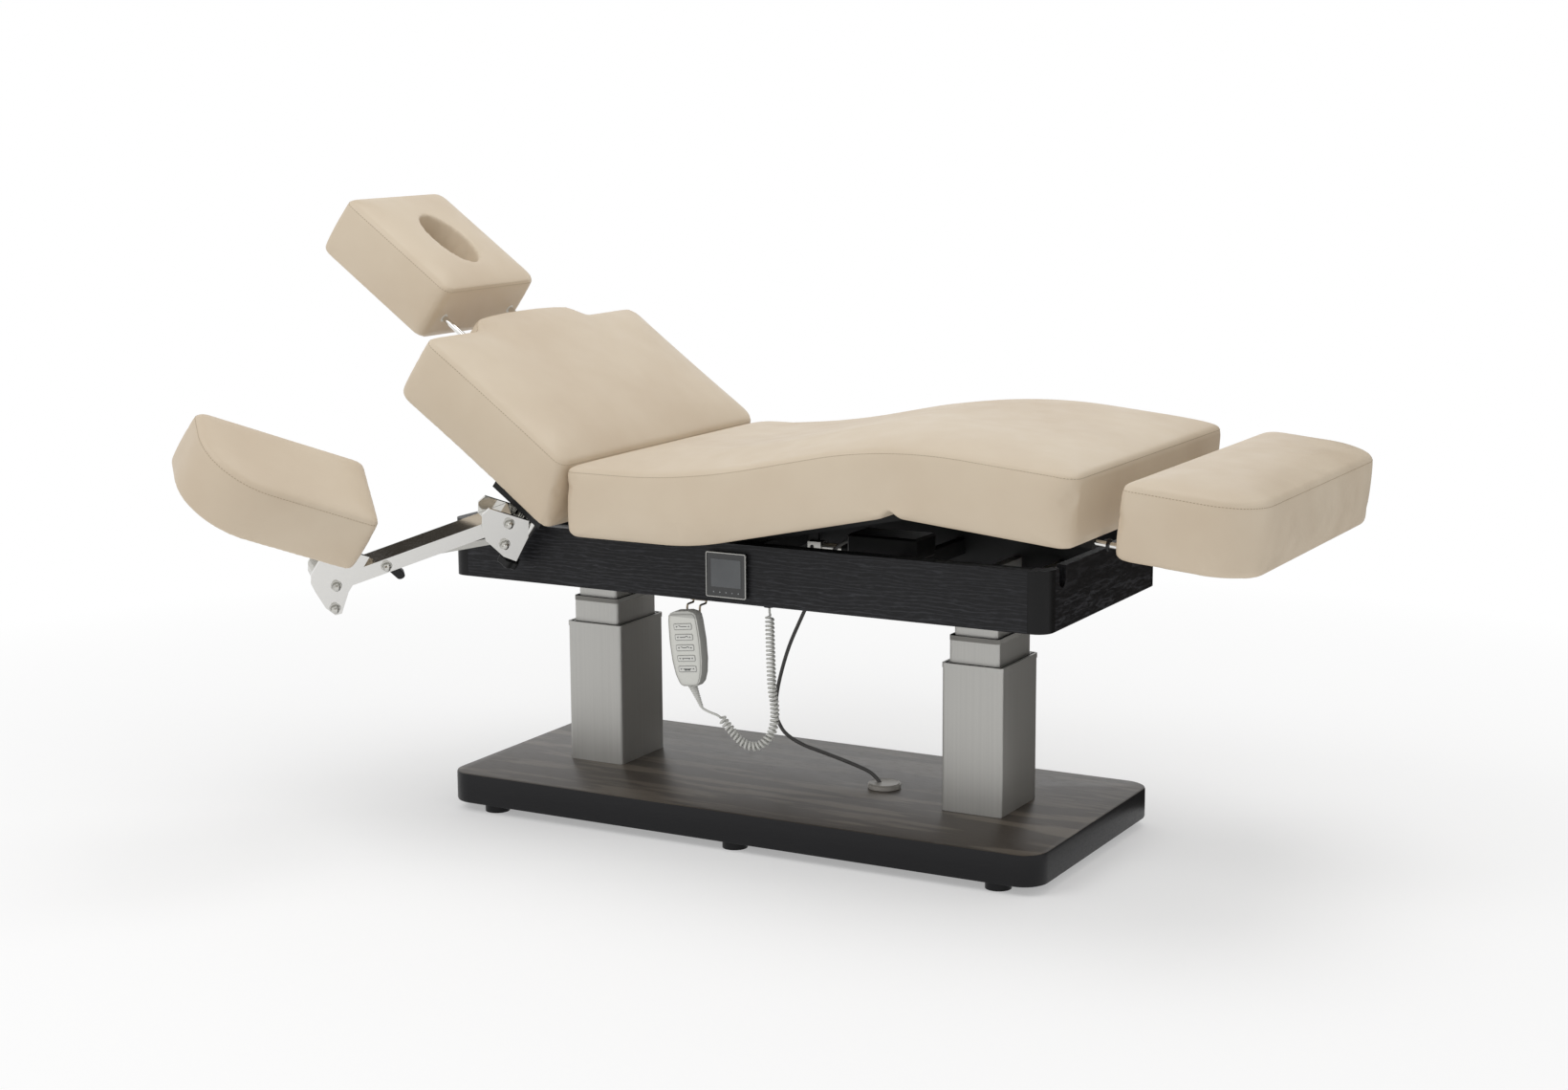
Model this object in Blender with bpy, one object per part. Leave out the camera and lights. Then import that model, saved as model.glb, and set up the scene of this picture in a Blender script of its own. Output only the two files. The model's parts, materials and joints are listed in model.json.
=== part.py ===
"""Electric spa table: a padded couch with a tilting backrest, a folding thigh and leg section, a sliding
face pillow and foot bolster, and one swing-out arm rest, on two lifting columns and a flat base.

Metres, +Z up, +X towards the foot end, -Y towards the side that faces the viewer. The floor is Z = 0. Run it
with: blender --background --python part.py
"""

import math

import bpy
import bmesh
from mathutils import Matrix, Vector

# General clearances and finish
SEAT_GAP = 0.0003
SLIDE_GAP = 0.0005
CUT_OVERRUN = 0.004
COLUMN_GAP = 0.0006

# Base board and its levelling feet
BASE_LENGTH = 1.309
BASE_WIDTH = 0.577
BASE_THICKNESS = 0.062
BASE_CORNER_RADIUS = 0.050
BASE_EDGE_BEVEL = 0.004
FOOT_DIAMETER = 0.050
FOOT_HEIGHT = 0.018
FOOT_INSET_X = 0.095
FOOT_INSET_Y = 0.040
GROMMET_X = 0.193
GROMMET_Y = 0.014
GROMMET_DIAMETER = 0.066
GROMMET_HEIGHT = 0.008
GROMMET_SPIGOT_DIAMETER = 0.050
GROMMET_SPIGOT_DEPTH = 0.030
GROMMET_BORE = 0.026
GROMMET_BORE_OFFSET = 0.008
GROMMET_BORE_DEPTH = 0.0135

# Lifting columns, three nested sleeves each
HEAD_COLUMN_SETBACK = 0.212
FOOT_COLUMN_SETBACK = 0.234
COLUMN_OUTER_X = 0.127
COLUMN_OUTER_Y = 0.168
COLUMN_OUTER_HEIGHT = 0.283
COLUMN_MIDDLE_X = 0.105
COLUMN_MIDDLE_Y = 0.152
COLUMN_MIDDLE_LENGTH = 0.275
COLUMN_MIDDLE_SHOWS = 0.0525
COLUMN_INNER_X = 0.091
COLUMN_INNER_Y = 0.138
COLUMN_INNER_LENGTH = 0.290
COLUMN_INNER_SHOWS = 0.0645
COLUMN_WALL = 0.004
COLUMN_CORNER_RADIUS = 0.008
COLUMN_CAP_HEIGHT = 0.008
CAP_LIP = 0.001
COLUMN_FLANGE_X = 0.150
COLUMN_FLANGE_Y = 0.170
COLUMN_FLANGE_THICKNESS = 0.006
MOTOR_LENGTH = 0.110
MOTOR_WIDTH = 0.060
MOTOR_HEIGHT = 0.044
MOTOR_CORNER_RADIUS = 0.012

# Frame: apron boards, corner posts, steel rails and crossbars
FRAME_CENTRE_X = 0.012
FRAME_LENGTH = 1.298
FRAME_WIDTH = 0.550
APRON_HEIGHT = 0.115
APRON_THICKNESS = 0.018
POST_SIZE = 0.038
POST_RADIUS = 0.030
RAIL_THICKNESS = 0.018
RAIL_TOP_DROP = 0.0006
CROSSBAR_THICKNESS = 0.020
CROSSBAR_HEIGHT = 0.030
COLUMN_CROSSBAR_SPREAD = 0.100
SUPPORT_INSET = 0.045
NOTCH_INSET = 0.070
NOTCH_WIDTH = 0.030
NOTCH_DEPTH = 0.039
BUMPER_DIAMETER = 0.024
BUMPER_HEIGHT = 0.030
BUMPER_SETBACK = 0.064
BUMPER_TIP_DIAMETER = 0.018

# Touch panel, handset hooks and control box
PANEL_X = 0.006
PANEL_SIZE = 0.086
PANEL_DEPTH = 0.010
PANEL_CORNER_RADIUS = 0.003
PANEL_RIM = 0.0015
PANEL_RECESS = 0.0008
PANEL_DROP = 0.060
CONTROL_BOX_LENGTH = 0.150
CONTROL_BOX_WIDTH = 0.090
CONTROL_BOX_HEIGHT = 0.045
CONTROL_BOX_BEVEL = 0.004
CONTROL_BOX_X = 0.215
CONTROL_BOX_DROP = 0.0535

# Cushions in general
MATTRESS_OVERHANG = 0.104
CUSHION_SIDE = 0.134
CUSHION_CROWN = 0.028
CUSHION_LIFT = 0.002
CUSHION_CORNER_RADIUS = 0.028
CUSHION_DRAW_IN = 0.005
SEAM_GROOVE = 0.002
SEAM_HEIGHT = 0.003
CUSHION_EDGE = 0.010
CUSHION_EDGE_INSET = 0.001
SEAM_EDGE_INSET = 0.0008
SIDE_DRAW_IN = 0.003
BOARD_THICKNESS = 0.015
BOARD_INSET = 0.034
BAR_WIDTH = 0.020
BAR_HEIGHT = 0.018

# Hinge line, at the middle of the bars that carry the cushions
PIN_DIAMETER = 0.010
PIN_CLEARANCE = 0.0004
BACK_HINGE_SETBACK_X = 0.302
THIGH_HINGE_X = -0.020

# Seat
SEAT_FROM_BACK_HINGE = 0.035

# Backrest
BACK_ANGLE = math.radians(35.9)
BACK_SIDE_LENGTH = 0.445
BACK_TONGUE = 0.038
BACK_TONGUE_HALF_WIDTH = 0.150
BACK_TONGUE_SLOPE = 0.055
BACK_HINGE_SETBACK = 0.012
BACK_MITRE = math.radians(19.1)
BAR_INSET = 0.075
BACK_BAR_LENGTH = 0.262
BACK_BOARD_HINGE_SETBACK = 0.040
CRANK_RADIUS = 0.062
CRANK_THICKNESS = 0.008
CRANK_EYE_RADIUS = 0.012
BACK_CRANK_Y = -0.115

# Headrest
HEADREST_LENGTH = 0.311
HEADREST_WIDTH = 0.325
HEADREST_SIDE = 0.127
HEADREST_CROWN = 0.022
HEADREST_REACH = 0.570
HEADREST_CORNER_RADIUS = 0.022
FACE_HOLE_LENGTH = 0.158
FACE_HOLE_WIDTH = 0.104
FACE_HOLE_CENTRE = 0.145
ROD_DIAMETER = 0.012
ROD_Y = 0.118
ROD_HEIGHT = 0.062
ROD_IN_HEADREST = 0.190
ROD_IN_SLEEVE = 0.172
ROD_GAP = 0.0005
SLEEVE_SIZE = 0.022
SLEEVE_LENGTH = 0.260
SLEEVE_FROM_END = 0.006
HEADREST_BOARD_INSET = 0.022

# Thigh and leg sections
THIGH_ANGLE = math.radians(12.1)
THIGH_RISE = math.radians(4.9)
THIGH_LENGTH = 0.425
THIGH_CRANK_Y = 0.115
LEG_FALL = math.radians(5.4)
LEG_LENGTH = 0.350
LEG_BAR_LENGTH = 0.222
KNEE_PLAY = 0.004
FOLD_GAP = 0.0005
BOARD_END_SETBACK = 0.022

# Foot bolster
BOLSTER_GAP = 0.076
BOLSTER_LENGTH = 0.246
BOLSTER_INSET = 0.003
BOLSTER_SIDE = 0.130
BOLSTER_CROWN = 0.022
BOLSTER_CORNER_RADIUS = 0.090
BOLSTER_BACK_RADIUS = 0.020
BOLSTER_ROD_IN_LEG = 0.210
BOLSTER_ROD_IN_BOLSTER = 0.150
BOLSTER_SLEEVE_LENGTH = 0.190

# Arm rest, in the arm's own frame: x points back along the arm to its post, z square to the backrest
ARM_UP_SLOPE = 0.077
ARM_INSET = 0.065
ARM_SWING = math.radians(52.8)
ARM_MOUNT_LENGTH = 0.130
ARM_MOUNT_WIDTH = 0.055
ARM_MOUNT_HEIGHT = 0.022
ARM_MOUNT_AHEAD = 0.032
POST_PIN_DIAMETER = 0.016
POST_PIN_BOTTOM = -0.1285
COLLAR_DIAMETER = 0.027
COLLAR_TOP = -0.024
COLLAR_BOTTOM = -0.1225
UPPER_PIVOT_X = -0.055
UPPER_PIVOT_Z = -0.0425
LOWER_PIVOT_X = -0.039
LOWER_PIVOT_Z = -0.0905
PLATE_THICKNESS = 0.004
ARM_PIN_DIAMETER = 0.009
KNOB_DIAMETER = 0.046
KNOB_HEIGHT = 0.016
KNOB_LOBES = 6
KNOB_LOBE_POINTS = 6
KNOB_LOBE_DEPTH = 0.004
KNOB_STUD_DIAMETER = 0.008
KNOB_STUD_LENGTH = 0.011
ARM_ANGLE = math.radians(44.8)
ARM_LENGTH = 0.353
ARM_BAR_WIDTH = 0.036
ARM_BAR_HEIGHT = 0.034
ARM_BAR_WALL = 0.003
ARM_BAR_OVERHANG = 0.010
STRIP_LENGTH = 0.205
STRIP_HEIGHT = 0.008
STRIP_WIDTH = 0.012
STRIP_EYE_RADIUS = 0.009
STRIP_ANGLE = math.radians(11.3)
LEVER_PIVOT = 0.250
LEVER_WIDTH = 0.018
LEVER_THICKNESS = 0.012
LEVER_DROP = 0.052
LEVER_HUB_RADIUS = 0.008
LEVER_PIN_DIAMETER = 0.006
ARM_MOUNT_OFFSET = -0.0035
CARRIER_PLATE_LENGTH = 0.270
CARRIER_PLATE_WIDTH = 0.130
CARRIER_PLATE_START = 0.034
PAD_CLEARANCE_ABOVE_PIVOT = 0.088
PAD_LENGTH = 0.352
PAD_WIDTH = 0.204
PAD_SIDE = 0.120
PAD_CROWN = 0.016
PAD_START = 0.021
PAD_ROUND_CORNER = 0.130
PAD_CORNER_RADIUS = 0.018

# Handset
HANDSET_X = -0.063
HANDSET_OFF_APRON = 0.047
HANDSET_TOP_DROP = 0.014
HANDSET_LENGTH = 0.146
HANDSET_BELLY_WIDTH = 0.070
HANDSET_DEPTH = 0.026
HANDSET_LEAN = math.radians(6.8)
HANDSET_EDGE = 0.003
HANDSET_KEYS = 5
KEY_WIDTH = 0.040
KEY_HEIGHT = 0.012
KEY_PITCH = 0.0205
KEY_FIRST_DROP = 0.030
KEY_THICKNESS = 0.0030
KEY_PROUD = 0.0010
KEY_TRAVEL = 0.0010
HOOK_POCKET_WIDTH = 0.046
HOOK_POCKET_HEIGHT = 0.018
HOOK_POCKET_DEPTH = 0.014
HOOK_POCKET_DROP = 0.018
HOOK_WIRE = 0.004
HOOK_SPREAD = 0.028
HOOK_REACH = 0.010
HOOK_STAND_OFF = 0.006
HOOK_DIP = 0.007
HOOK_BEND = 0.006
STRAIN_LENGTH = 0.045
STRAIN_COLLAR = 0.006
STRAIN_BORE_DEPTH = 0.008
STRAIN_TOP_DIAMETER = 0.013
STRAIN_TIP_DIAMETER = 0.007
STRAIN_TURN = math.radians(20.0)

# Handset cord: a strand wound into a curly cord
STRAND_DIAMETER = 0.0046
CURL_OUTER_DIAMETER = 0.0185
CURL_COUNT = 46
CURL_POINTS = 8
GLAND_DIAMETER = 0.022
GLAND_HEIGHT = 0.012
GLAND_BORE_DEPTH = 0.008
GLAND_X = 0.0785
GLAND_INSET = 0.0295

# Power cable between the frame and the base
CABLE_DIAMETER = 0.0075
CABLE_POINTS = 44

# Push rods that tilt the backrest and lift the thigh section
ACTUATOR_TUBE_DIAMETER = 0.030
ACTUATOR_TUBE_LENGTH = 0.130
ACTUATOR_HOUSING_LENGTH = 0.060
ACTUATOR_HOUSING_SIZE = 0.046
ACTUATOR_MOTOR_DIAMETER = 0.038
ACTUATOR_MOTOR_LENGTH = 0.080
ACTUATOR_MOTOR_OFFSET = 0.038
ACTUATOR_ROD_DIAMETER = 0.018
ACTUATOR_BORE = 0.019
ACTUATOR_ROD_LENGTH = 0.175
ACTUATOR_FREE_LENGTH = 0.048
ACTUATOR_BORE_DEPTH = 0.178
CRANK_PIN_DIAMETER = 0.008
FORK_TIP = 0.010
FORK_WIDTH = 0.026
FORK_LENGTH = 0.030
FORK_SLOT_DEPTH = 0.026
FORK_HEIGHT = 0.022

# Facets
ROUND_SIDES = 20
HUB_SIDES = 16
SMALL_SIDES = 12
CORNER_STEPS = 4
BASE_CORNER_STEPS = 8
POST_STEPS = 6
NOTCH_STEPS = 8
KEY_STEPS = 2
CUSHION_STEPS = 4
BOLSTER_STEPS = 7
TONGUE_STEPS = 5
HOLE_STEPS = 28
FINE_STEPS = 24
BEND_STEPS = 4

SIDES = (("near", -1), ("far", 1))

BASE_TOP = FOOT_HEIGHT + BASE_THICKNESS
OUTER_BOTTOM = BASE_TOP + SEAT_GAP
OUTER_TOP = OUTER_BOTTOM + COLUMN_OUTER_HEIGHT
CAP_TOP = OUTER_TOP + SEAT_GAP + COLUMN_CAP_HEIGHT
MIDDLE_TOP = CAP_TOP + COLUMN_MIDDLE_SHOWS
FLANGE_TOP = MIDDLE_TOP + COLUMN_INNER_SHOWS + COLUMN_FLANGE_THICKNESS
APRON_BOTTOM = FLANGE_TOP - COLUMN_FLANGE_THICKNESS + SEAT_GAP
APRON_TOP = APRON_BOTTOM + APRON_HEIGHT
CUSHION_Z = APRON_TOP + CUSHION_LIFT
HINGE_DROP = BAR_HEIGHT / 2 + SEAT_GAP
HINGE_Z = CUSHION_Z - HINGE_DROP
FRAME_HEAD_X = FRAME_CENTRE_X - FRAME_LENGTH / 2
FRAME_FOOT_X = FRAME_CENTRE_X + FRAME_LENGTH / 2
COLUMN_HEAD_X = FRAME_HEAD_X + HEAD_COLUMN_SETBACK
COLUMN_FOOT_X = FRAME_FOOT_X - FOOT_COLUMN_SETBACK
COLUMNS = (("head", COLUMN_HEAD_X), ("foot", COLUMN_FOOT_X))
BUMPER_X = FRAME_FOOT_X - BUMPER_SETBACK
BACK_HINGE_X = FRAME_HEAD_X + BACK_HINGE_SETBACK_X
SEAT_HEAD_X = BACK_HINGE_X + SEAT_FROM_BACK_HINGE
MATTRESS_WIDTH = FRAME_WIDTH + 2 * MATTRESS_OVERHANG
BOLSTER_WIDTH = MATTRESS_WIDTH - 2 * BOLSTER_INSET
BACK_BAR_Y = FRAME_WIDTH / 2 - BAR_INSET
THIGH_BAR_Y = BACK_BAR_Y
LEG_BAR_Y = THIGH_BAR_Y - BAR_WIDTH - KNEE_PLAY
NOTCH_Y = FRAME_WIDTH / 2 - NOTCH_INSET
BOLSTER_ROD_Y = NOTCH_Y
ARM_Y = -(MATTRESS_WIDTH / 2 - ARM_INSET)
HANDSET_FRONT_Y = -(FRAME_WIDTH / 2 + HANDSET_OFF_APRON)
GLAND_Y = -(FRAME_WIDTH / 2 - GLAND_INSET)
RAIL_Y = FRAME_WIDTH / 2 - APRON_THICKNESS - SEAT_GAP - RAIL_THICKNESS / 2
RAIL_TOP = APRON_TOP - RAIL_TOP_DROP
RAIL_BOTTOM = FLANGE_TOP + SEAT_GAP
HANDSET_Z = APRON_BOTTOM - HANDSET_TOP_DROP - HANDSET_LENGTH / 2
THIGH_MAX = THIGH_ANGLE + THIGH_RISE
THIGH_FOLD_GAP = HINGE_DROP * math.tan(THIGH_MAX / 2) + FOLD_GAP
KNEE_ANGLE = THIGH_ANGLE + LEG_FALL
CRANK_LEAN = BACK_ANGLE / 2
THIGH_CRANK_LEAN = THIGH_MAX / 2
LEG_SLEEVE_Z = HINGE_DROP - SEAT_GAP - SLEEVE_SIZE / 2
BACK_ROD_Z = HINGE_DROP + ROD_HEIGHT
BOX_BOTTOM = CUSHION_Z - CONTROL_BOX_DROP
ACTUATOR_REACH = FORK_LENGTH - FORK_TIP + ACTUATOR_FREE_LENGTH + ACTUATOR_TUBE_LENGTH + ACTUATOR_HOUSING_LENGTH
BACK_HOUSING_END = BACK_HINGE_X + CRANK_RADIUS * math.sin(CRANK_LEAN - BACK_ANGLE) + ACTUATOR_REACH
THIGH_HOUSING_END = THIGH_HINGE_X - CRANK_RADIUS * math.sin(THIGH_CRANK_LEAN - THIGH_ANGLE) + ACTUATOR_REACH

# Shares of a cushion's half width and of its crown, from the seam to the flat of its top
CROWN_SHARES = ((0.045, 0.29), (0.14, 0.64), (0.36, 0.89), (0.62, 1.0))
TONGUE_BELLY_SHARE = 1.25

# Plain outlines of the arm's cheek plates, in the arm's own frame, and their webs
BRACKET_OUTLINE = (
    (-0.114, -0.042), (-0.108, -0.0245), (-0.020, -0.0245), (-0.002, -0.060), (0.004, -0.121), (-0.026, -0.119),
    (-0.050, -0.108), (-0.078, -0.096), (-0.100, -0.070),
)
CARRIER_OUTLINE = (
    (-0.057, 0.084), (-0.057, 0.007), (-0.048, -0.012), (-0.031, -0.028), (0.005, -0.057), (0.031, -0.067),
    (0.041, -0.059), (0.030, -0.007), (0.030, 0.084),
)
WEB_END = -0.001
WEB_TOP = -0.066
WEB_BOTTOM = -0.116
SECOND_BOLT_X = 0.022
SECOND_BOLT_Z = -0.051

# Shares of the handset's length and of its greatest width, down its right-hand side
HANDSET_SIDE_SHARES = (
    (0.06, 0.88), (0.14, 0.94), (0.40, 1.0), (0.66, 0.96), (0.84, 0.84), (0.95, 0.66), (1.0, 0.44),
)
HANDSET_DOME_SHARES = ((0.0, 0.42), (0.025, 0.74))

# Hand-chosen points of the handset cord, from its gland under the frame to the handset
CURLY_ROUTE = (
    (0.0785, -0.2455, 0.4700), (0.0800, -0.2455, 0.4000), (0.0835, -0.2470, 0.3300), (0.0905, -0.2500, 0.2930),
    (0.0925, -0.2540, 0.2650), (0.0890, -0.2600, 0.2405), (0.0785, -0.2690, 0.2230), (0.0625, -0.2780, 0.2150),
    (0.0450, -0.2860, 0.2200), (0.0290, -0.2920, 0.2355), (0.0130, -0.2970, 0.2550), (0.0000, -0.3020, 0.2730),
)

# Hand-chosen points of the power cable, from the control box to the grommet in the base
CABLE_ROUTE = (
    (0.1397, 0.0000, 0.5750), (0.1100, 0.0010, 0.5700), (0.0750, 0.0040, 0.5400), (0.0450, 0.0080, 0.4900),
    (0.0180, 0.0130, 0.4300), (-0.0230, 0.0150, 0.3430), (-0.0480, 0.0150, 0.2600), (-0.0530, 0.0150, 0.2050),
    (-0.0420, 0.0150, 0.1760), (-0.0240, 0.0150, 0.1590), (0.0090, 0.0150, 0.1450), (0.0520, 0.0150, 0.1350),
    (0.0960, 0.0150, 0.1250), (0.1390, 0.0150, 0.1140), (0.1620, 0.0145, 0.1060), (0.1770, 0.0140, 0.0950),
    (0.1845, 0.0140, 0.0860), (0.1852, 0.0140, 0.0762),
)


def linear(share):
    """One sRGB channel as a linear value."""
    return share / 12.92 if share <= 0.04045 else ((share + 0.055) / 1.055) ** 2.4


def finish(name, colour, roughness, metallic=0.0):
    """A Principled material from a hex sRGB colour."""
    channels = [int(colour[i : i + 2], 16) / 255 for i in (1, 3, 5)]
    made = bpy.data.materials.new(name)
    made.use_nodes = True
    shader = made.node_tree.nodes["Principled BSDF"]
    shader.inputs["Base Color"].default_value = (*[linear(c) for c in channels], 1.0)
    shader.inputs["Roughness"].default_value = roughness
    shader.inputs["Metallic"].default_value = metallic
    made.diffuse_color = shader.inputs["Base Color"].default_value
    return made


def pivot(name, parent=None, place=(0, 0, 0), turn=(0, 0, 0)):
    """An empty that carries pieces and stands on a joint's axis."""
    made = bpy.data.objects.new(name, None)
    bpy.context.scene.collection.objects.link(made)
    made.parent = parent
    made.location = place
    made.rotation_euler = turn
    return made


def piece(name, shape, parent, material=None):
    """Closes a bmesh into an object, with its faces pointing outwards."""
    bmesh.ops.recalc_face_normals(shape, faces=shape.faces)
    mesh = bpy.data.meshes.new(name)
    shape.to_mesh(mesh)
    shape.free()
    mesh.shade_smooth()
    mesh.set_sharp_from_angle(angle=math.radians(35))
    made = bpy.data.objects.new(name, mesh)
    bpy.context.scene.collection.objects.link(made)
    made.parent = parent
    if material:
        mesh.materials.append(material)
    return made


def boolean(target, shape, operation):
    """Adds or takes away a shape that stands in the same frame as the target."""
    tool = piece(f"{target.name}_{operation.lower()}_{len(target.modifiers)}", shape, target.parent)
    tool.location = target.location
    tool.rotation_euler = target.rotation_euler
    tool.hide_render = True
    tool.display_type = "WIRE"
    step = target.modifiers.new(operation.title(), "BOOLEAN")
    step.operation = operation
    step.object = tool
    return target


def cut(target, shape):
    """Takes a shape away from the target."""
    return boolean(target, shape, "DIFFERENCE")


def join(target, shape):
    """Fuses a shape to the target."""
    return boolean(target, shape, "UNION")


def soften(target, width, segments=1):
    """Rounds the sharp edges of a piece."""
    step = target.modifiers.new("Bevel", "BEVEL")
    step.width = width
    step.segments = segments
    step.limit_method = "ANGLE"
    step.angle_limit = math.radians(50)
    return target


def place_point(axis, across, up, along):
    """A point of a prism whose length runs along X, Y or Z."""
    return {"x": (along, across, up), "y": (across, along, up), "z": (across, up, along)}[axis]


def prism(outline, low, high, axis="z", shape=None):
    """An outline drawn out along an axis."""
    shape = shape or bmesh.new()
    ends = [[shape.verts.new(place_point(axis, a, b, end)) for a, b in outline] for end in (low, high)]
    shape.faces.new(ends[0])
    shape.faces.new(ends[1])
    count = len(outline)
    for i in range(count):
        j = (i + 1) % count
        shape.faces.new((ends[0][i], ends[0][j], ends[1][j], ends[1][i]))
    return shape


def block(low, high, shape=None):
    """A box between two corners."""
    outline = [(low[0], low[1]), (high[0], low[1]), (high[0], high[1]), (low[0], high[1])]
    return prism(outline, low[2], high[2], "z", shape)


def bar_between(start, end, radius, sides=ROUND_SIDES, tip_radius=None, shape=None):
    """A round bar, or a cone, between two points."""
    shape = shape or bmesh.new()
    start, end = Vector(start), Vector(end)
    along = end - start
    turn = along.to_track_quat("Z", "Y").to_matrix().to_4x4()
    bmesh.ops.create_cone(
        shape,
        cap_ends=True,
        segments=sides,
        radius1=radius,
        radius2=radius if tip_radius is None else tip_radius,
        depth=along.length,
        matrix=Matrix.Translation((start + end) / 2) @ turn,
    )
    return shape


def arc(centre, radius, start, end, steps):
    """Points on a round stretch of an outline."""
    angles = [start + (end - start) * i / steps for i in range(steps + 1)]
    return [(centre[0] + radius * math.cos(a), centre[1] + radius * math.sin(a)) for a in angles]


def rounded_rectangle(width, height, radius, steps=CORNER_STEPS, centre=(0, 0)):
    """A rectangle with four round corners, about its centre."""
    x, y = width / 2 - radius, height / 2 - radius
    corners = ((x, y, 0), (-x, y, 1), (-x, -y, 2), (x, -y, 3))
    points = []
    for cx, cy, quarter in corners:
        start = quarter * math.pi / 2
        points += arc((centre[0] + cx, centre[1] + cy), radius, start, start + math.pi / 2, steps)
    return points


def ring_prism(outer, inner, low, high):
    """A tube whose two outlines have as many points as each other."""
    shape = bmesh.new()
    loops = [[shape.verts.new((a, b, z)) for a, b in line] for line, z in
             ((outer, low), (outer, high), (inner, high), (inner, low))]
    count = len(outer)
    for k in range(4):
        here, there = loops[k], loops[(k + 1) % 4]
        for i in range(count):
            j = (i + 1) % count
            shape.faces.new((here[i], here[j], there[j], there[i]))
    return shape


def wall_ring(size_x, size_y, wall, radius, low, high, centre_x):
    """A square tube with round corners that stands on end."""
    outer = rounded_rectangle(size_x, size_y, radius, CORNER_STEPS, (centre_x, 0))
    inner = rounded_rectangle(size_x - 2 * wall, size_y - 2 * wall, radius - wall / 2, CORNER_STEPS, (centre_x, 0))
    return ring_prism(outer, inner, low, high)


def cushion_outline(x0, x1, half_width, radii, steps, draw_in):
    """Anticlockwise outline of a cushion; radii start at the corner (x1, +y)."""
    corners = ((x1, half_width, -1, -1), (x0, half_width, 1, -1), (x0, -half_width, 1, 1), (x1, -half_width, -1, 1))
    points = []
    for index, (x, y, sx, sy) in enumerate(corners):
        radius = radii[index]
        start = index * math.pi / 2
        points += arc((x + sx * radius, y + sy * radius), radius, start, start + math.pi / 2, steps[index])
        if index in (0, 2):
            near, far = points[-1][0], (x0 + radii[1]) if index == 0 else (x1 - radii[3])
            for k in (1, 2, 3):
                share = k / 4
                pull = draw_in * (1 - (2 * share - 1) ** 2)
                points.append((near + (far - near) * share, y + sy * pull))
    return points


def cushion_shape(outline, low, side, crown, head_mitre=0.0, foot_mitre=0.0):
    """An upholstered block: drawn-in sides, a sewn channel below the top and a crowned top face."""
    xs, ys = [p[0] for p in outline], [p[1] for p in outline]
    x0, x1, y1 = min(xs), max(xs), max(ys)
    middle, half_x = (x0 + x1) / 2, (x1 - x0) / 2
    least = min(half_x, y1)
    loops = [(CUSHION_DRAW_IN, 0.0), (CUSHION_EDGE_INSET, CUSHION_EDGE), (0.0, side / 2)]
    loops += [(SEAM_EDGE_INSET, side - SEAM_HEIGHT), (SEAM_EDGE_INSET + SEAM_GROOVE, side - SEAM_HEIGHT / 2)]
    loops += [(SEAM_EDGE_INSET, side)]
    loops += [(least * inset, side + crown * rise) for inset, rise in CROWN_SHARES]
    shape = bmesh.new()
    rings = []
    for inset, height in loops:
        grow_x, grow_y = 1 - inset / half_x, 1 - inset / y1
        ring = []
        for x, y in outline:
            share = (x - x0) / (x1 - x0)
            lean = math.tan(head_mitre) * (1 - share) + math.tan(foot_mitre) * share
            ring.append(shape.verts.new((middle + (x - middle) * grow_x + lean * height, y * grow_y, low + height)))
        rings.append(ring)
    count = len(outline)
    for here, there in zip(rings, rings[1:]):
        for i in range(count):
            j = (i + 1) % count
            shape.faces.new((here[i], here[j], there[j], there[i]))
    shape.faces.new(rings[0])
    shape.faces.new(rings[-1])
    return shape


def smooth_route(points, count):
    """Evenly spaced points on a smooth curve through hand-chosen points."""
    ends = [2 * Vector(points[0]) - Vector(points[1])] + [Vector(p) for p in points]
    ends.append(2 * Vector(points[-1]) - Vector(points[-2]))
    fine = []
    for i in range(1, len(ends) - 2):
        a, b, c, d = ends[i - 1 : i + 3]
        for k in range(FINE_STEPS):
            t = k / FINE_STEPS
            bow, swing = 2 * a - 5 * b + 4 * c - d, 3 * b - a - 3 * c + d
            fine.append((2 * b + (c - a) * t + bow * t**2 + swing * t**3) / 2)
    fine.append(ends[-2])
    lengths = [0.0]
    for here, there in zip(fine, fine[1:]):
        lengths.append(lengths[-1] + (there - here).length)
    even, at = [], 0
    for k in range(count):
        goal = lengths[-1] * k / (count - 1)
        while at < len(fine) - 2 and lengths[at + 1] < goal:
            at += 1
        span = max(lengths[at + 1] - lengths[at], 1e-9)
        even.append(fine[at].lerp(fine[at + 1], min((goal - lengths[at]) / span, 1.0)))
    return even, lengths[-1]


def wound_route(points, curls, per_curl, radius):
    """Winds a helix round a route; the first and last curls open out from the route itself."""
    total = curls * per_curl + 1
    axis, length = smooth_route(points, total)
    tangent = (axis[1] - axis[0]).normalized()
    side = tangent.orthogonal().normalized()
    wound = []
    for i, centre in enumerate(axis):
        ahead = (axis[min(i + 1, total - 1)] - axis[max(i - 1, 0)]).normalized()
        side = (side - ahead * side.dot(ahead)).normalized()
        other = ahead.cross(side)
        turn = 2 * math.pi * i / per_curl
        opening = min(1.0, i / per_curl, (total - 1 - i) / per_curl)
        reach = radius * math.sin(opening * math.pi / 2)
        wound.append(centre + side * (reach * math.cos(turn)) + other * (reach * math.sin(turn)))
    return wound, length


def least_gap(points, diameter, skip):
    """The least distance left between turns of a cord, measured on its points."""
    least = 1.0
    for i in range(len(points)):
        for j in range(i + skip, len(points) - 1):
            here, there = points[j], points[j + 1]
            span = there - here
            share = max(0.0, min(1.0, (points[i] - here).dot(span) / span.length_squared))
            least = min(least, (points[i] - here.lerp(there, share)).length)
    return least - diameter


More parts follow.
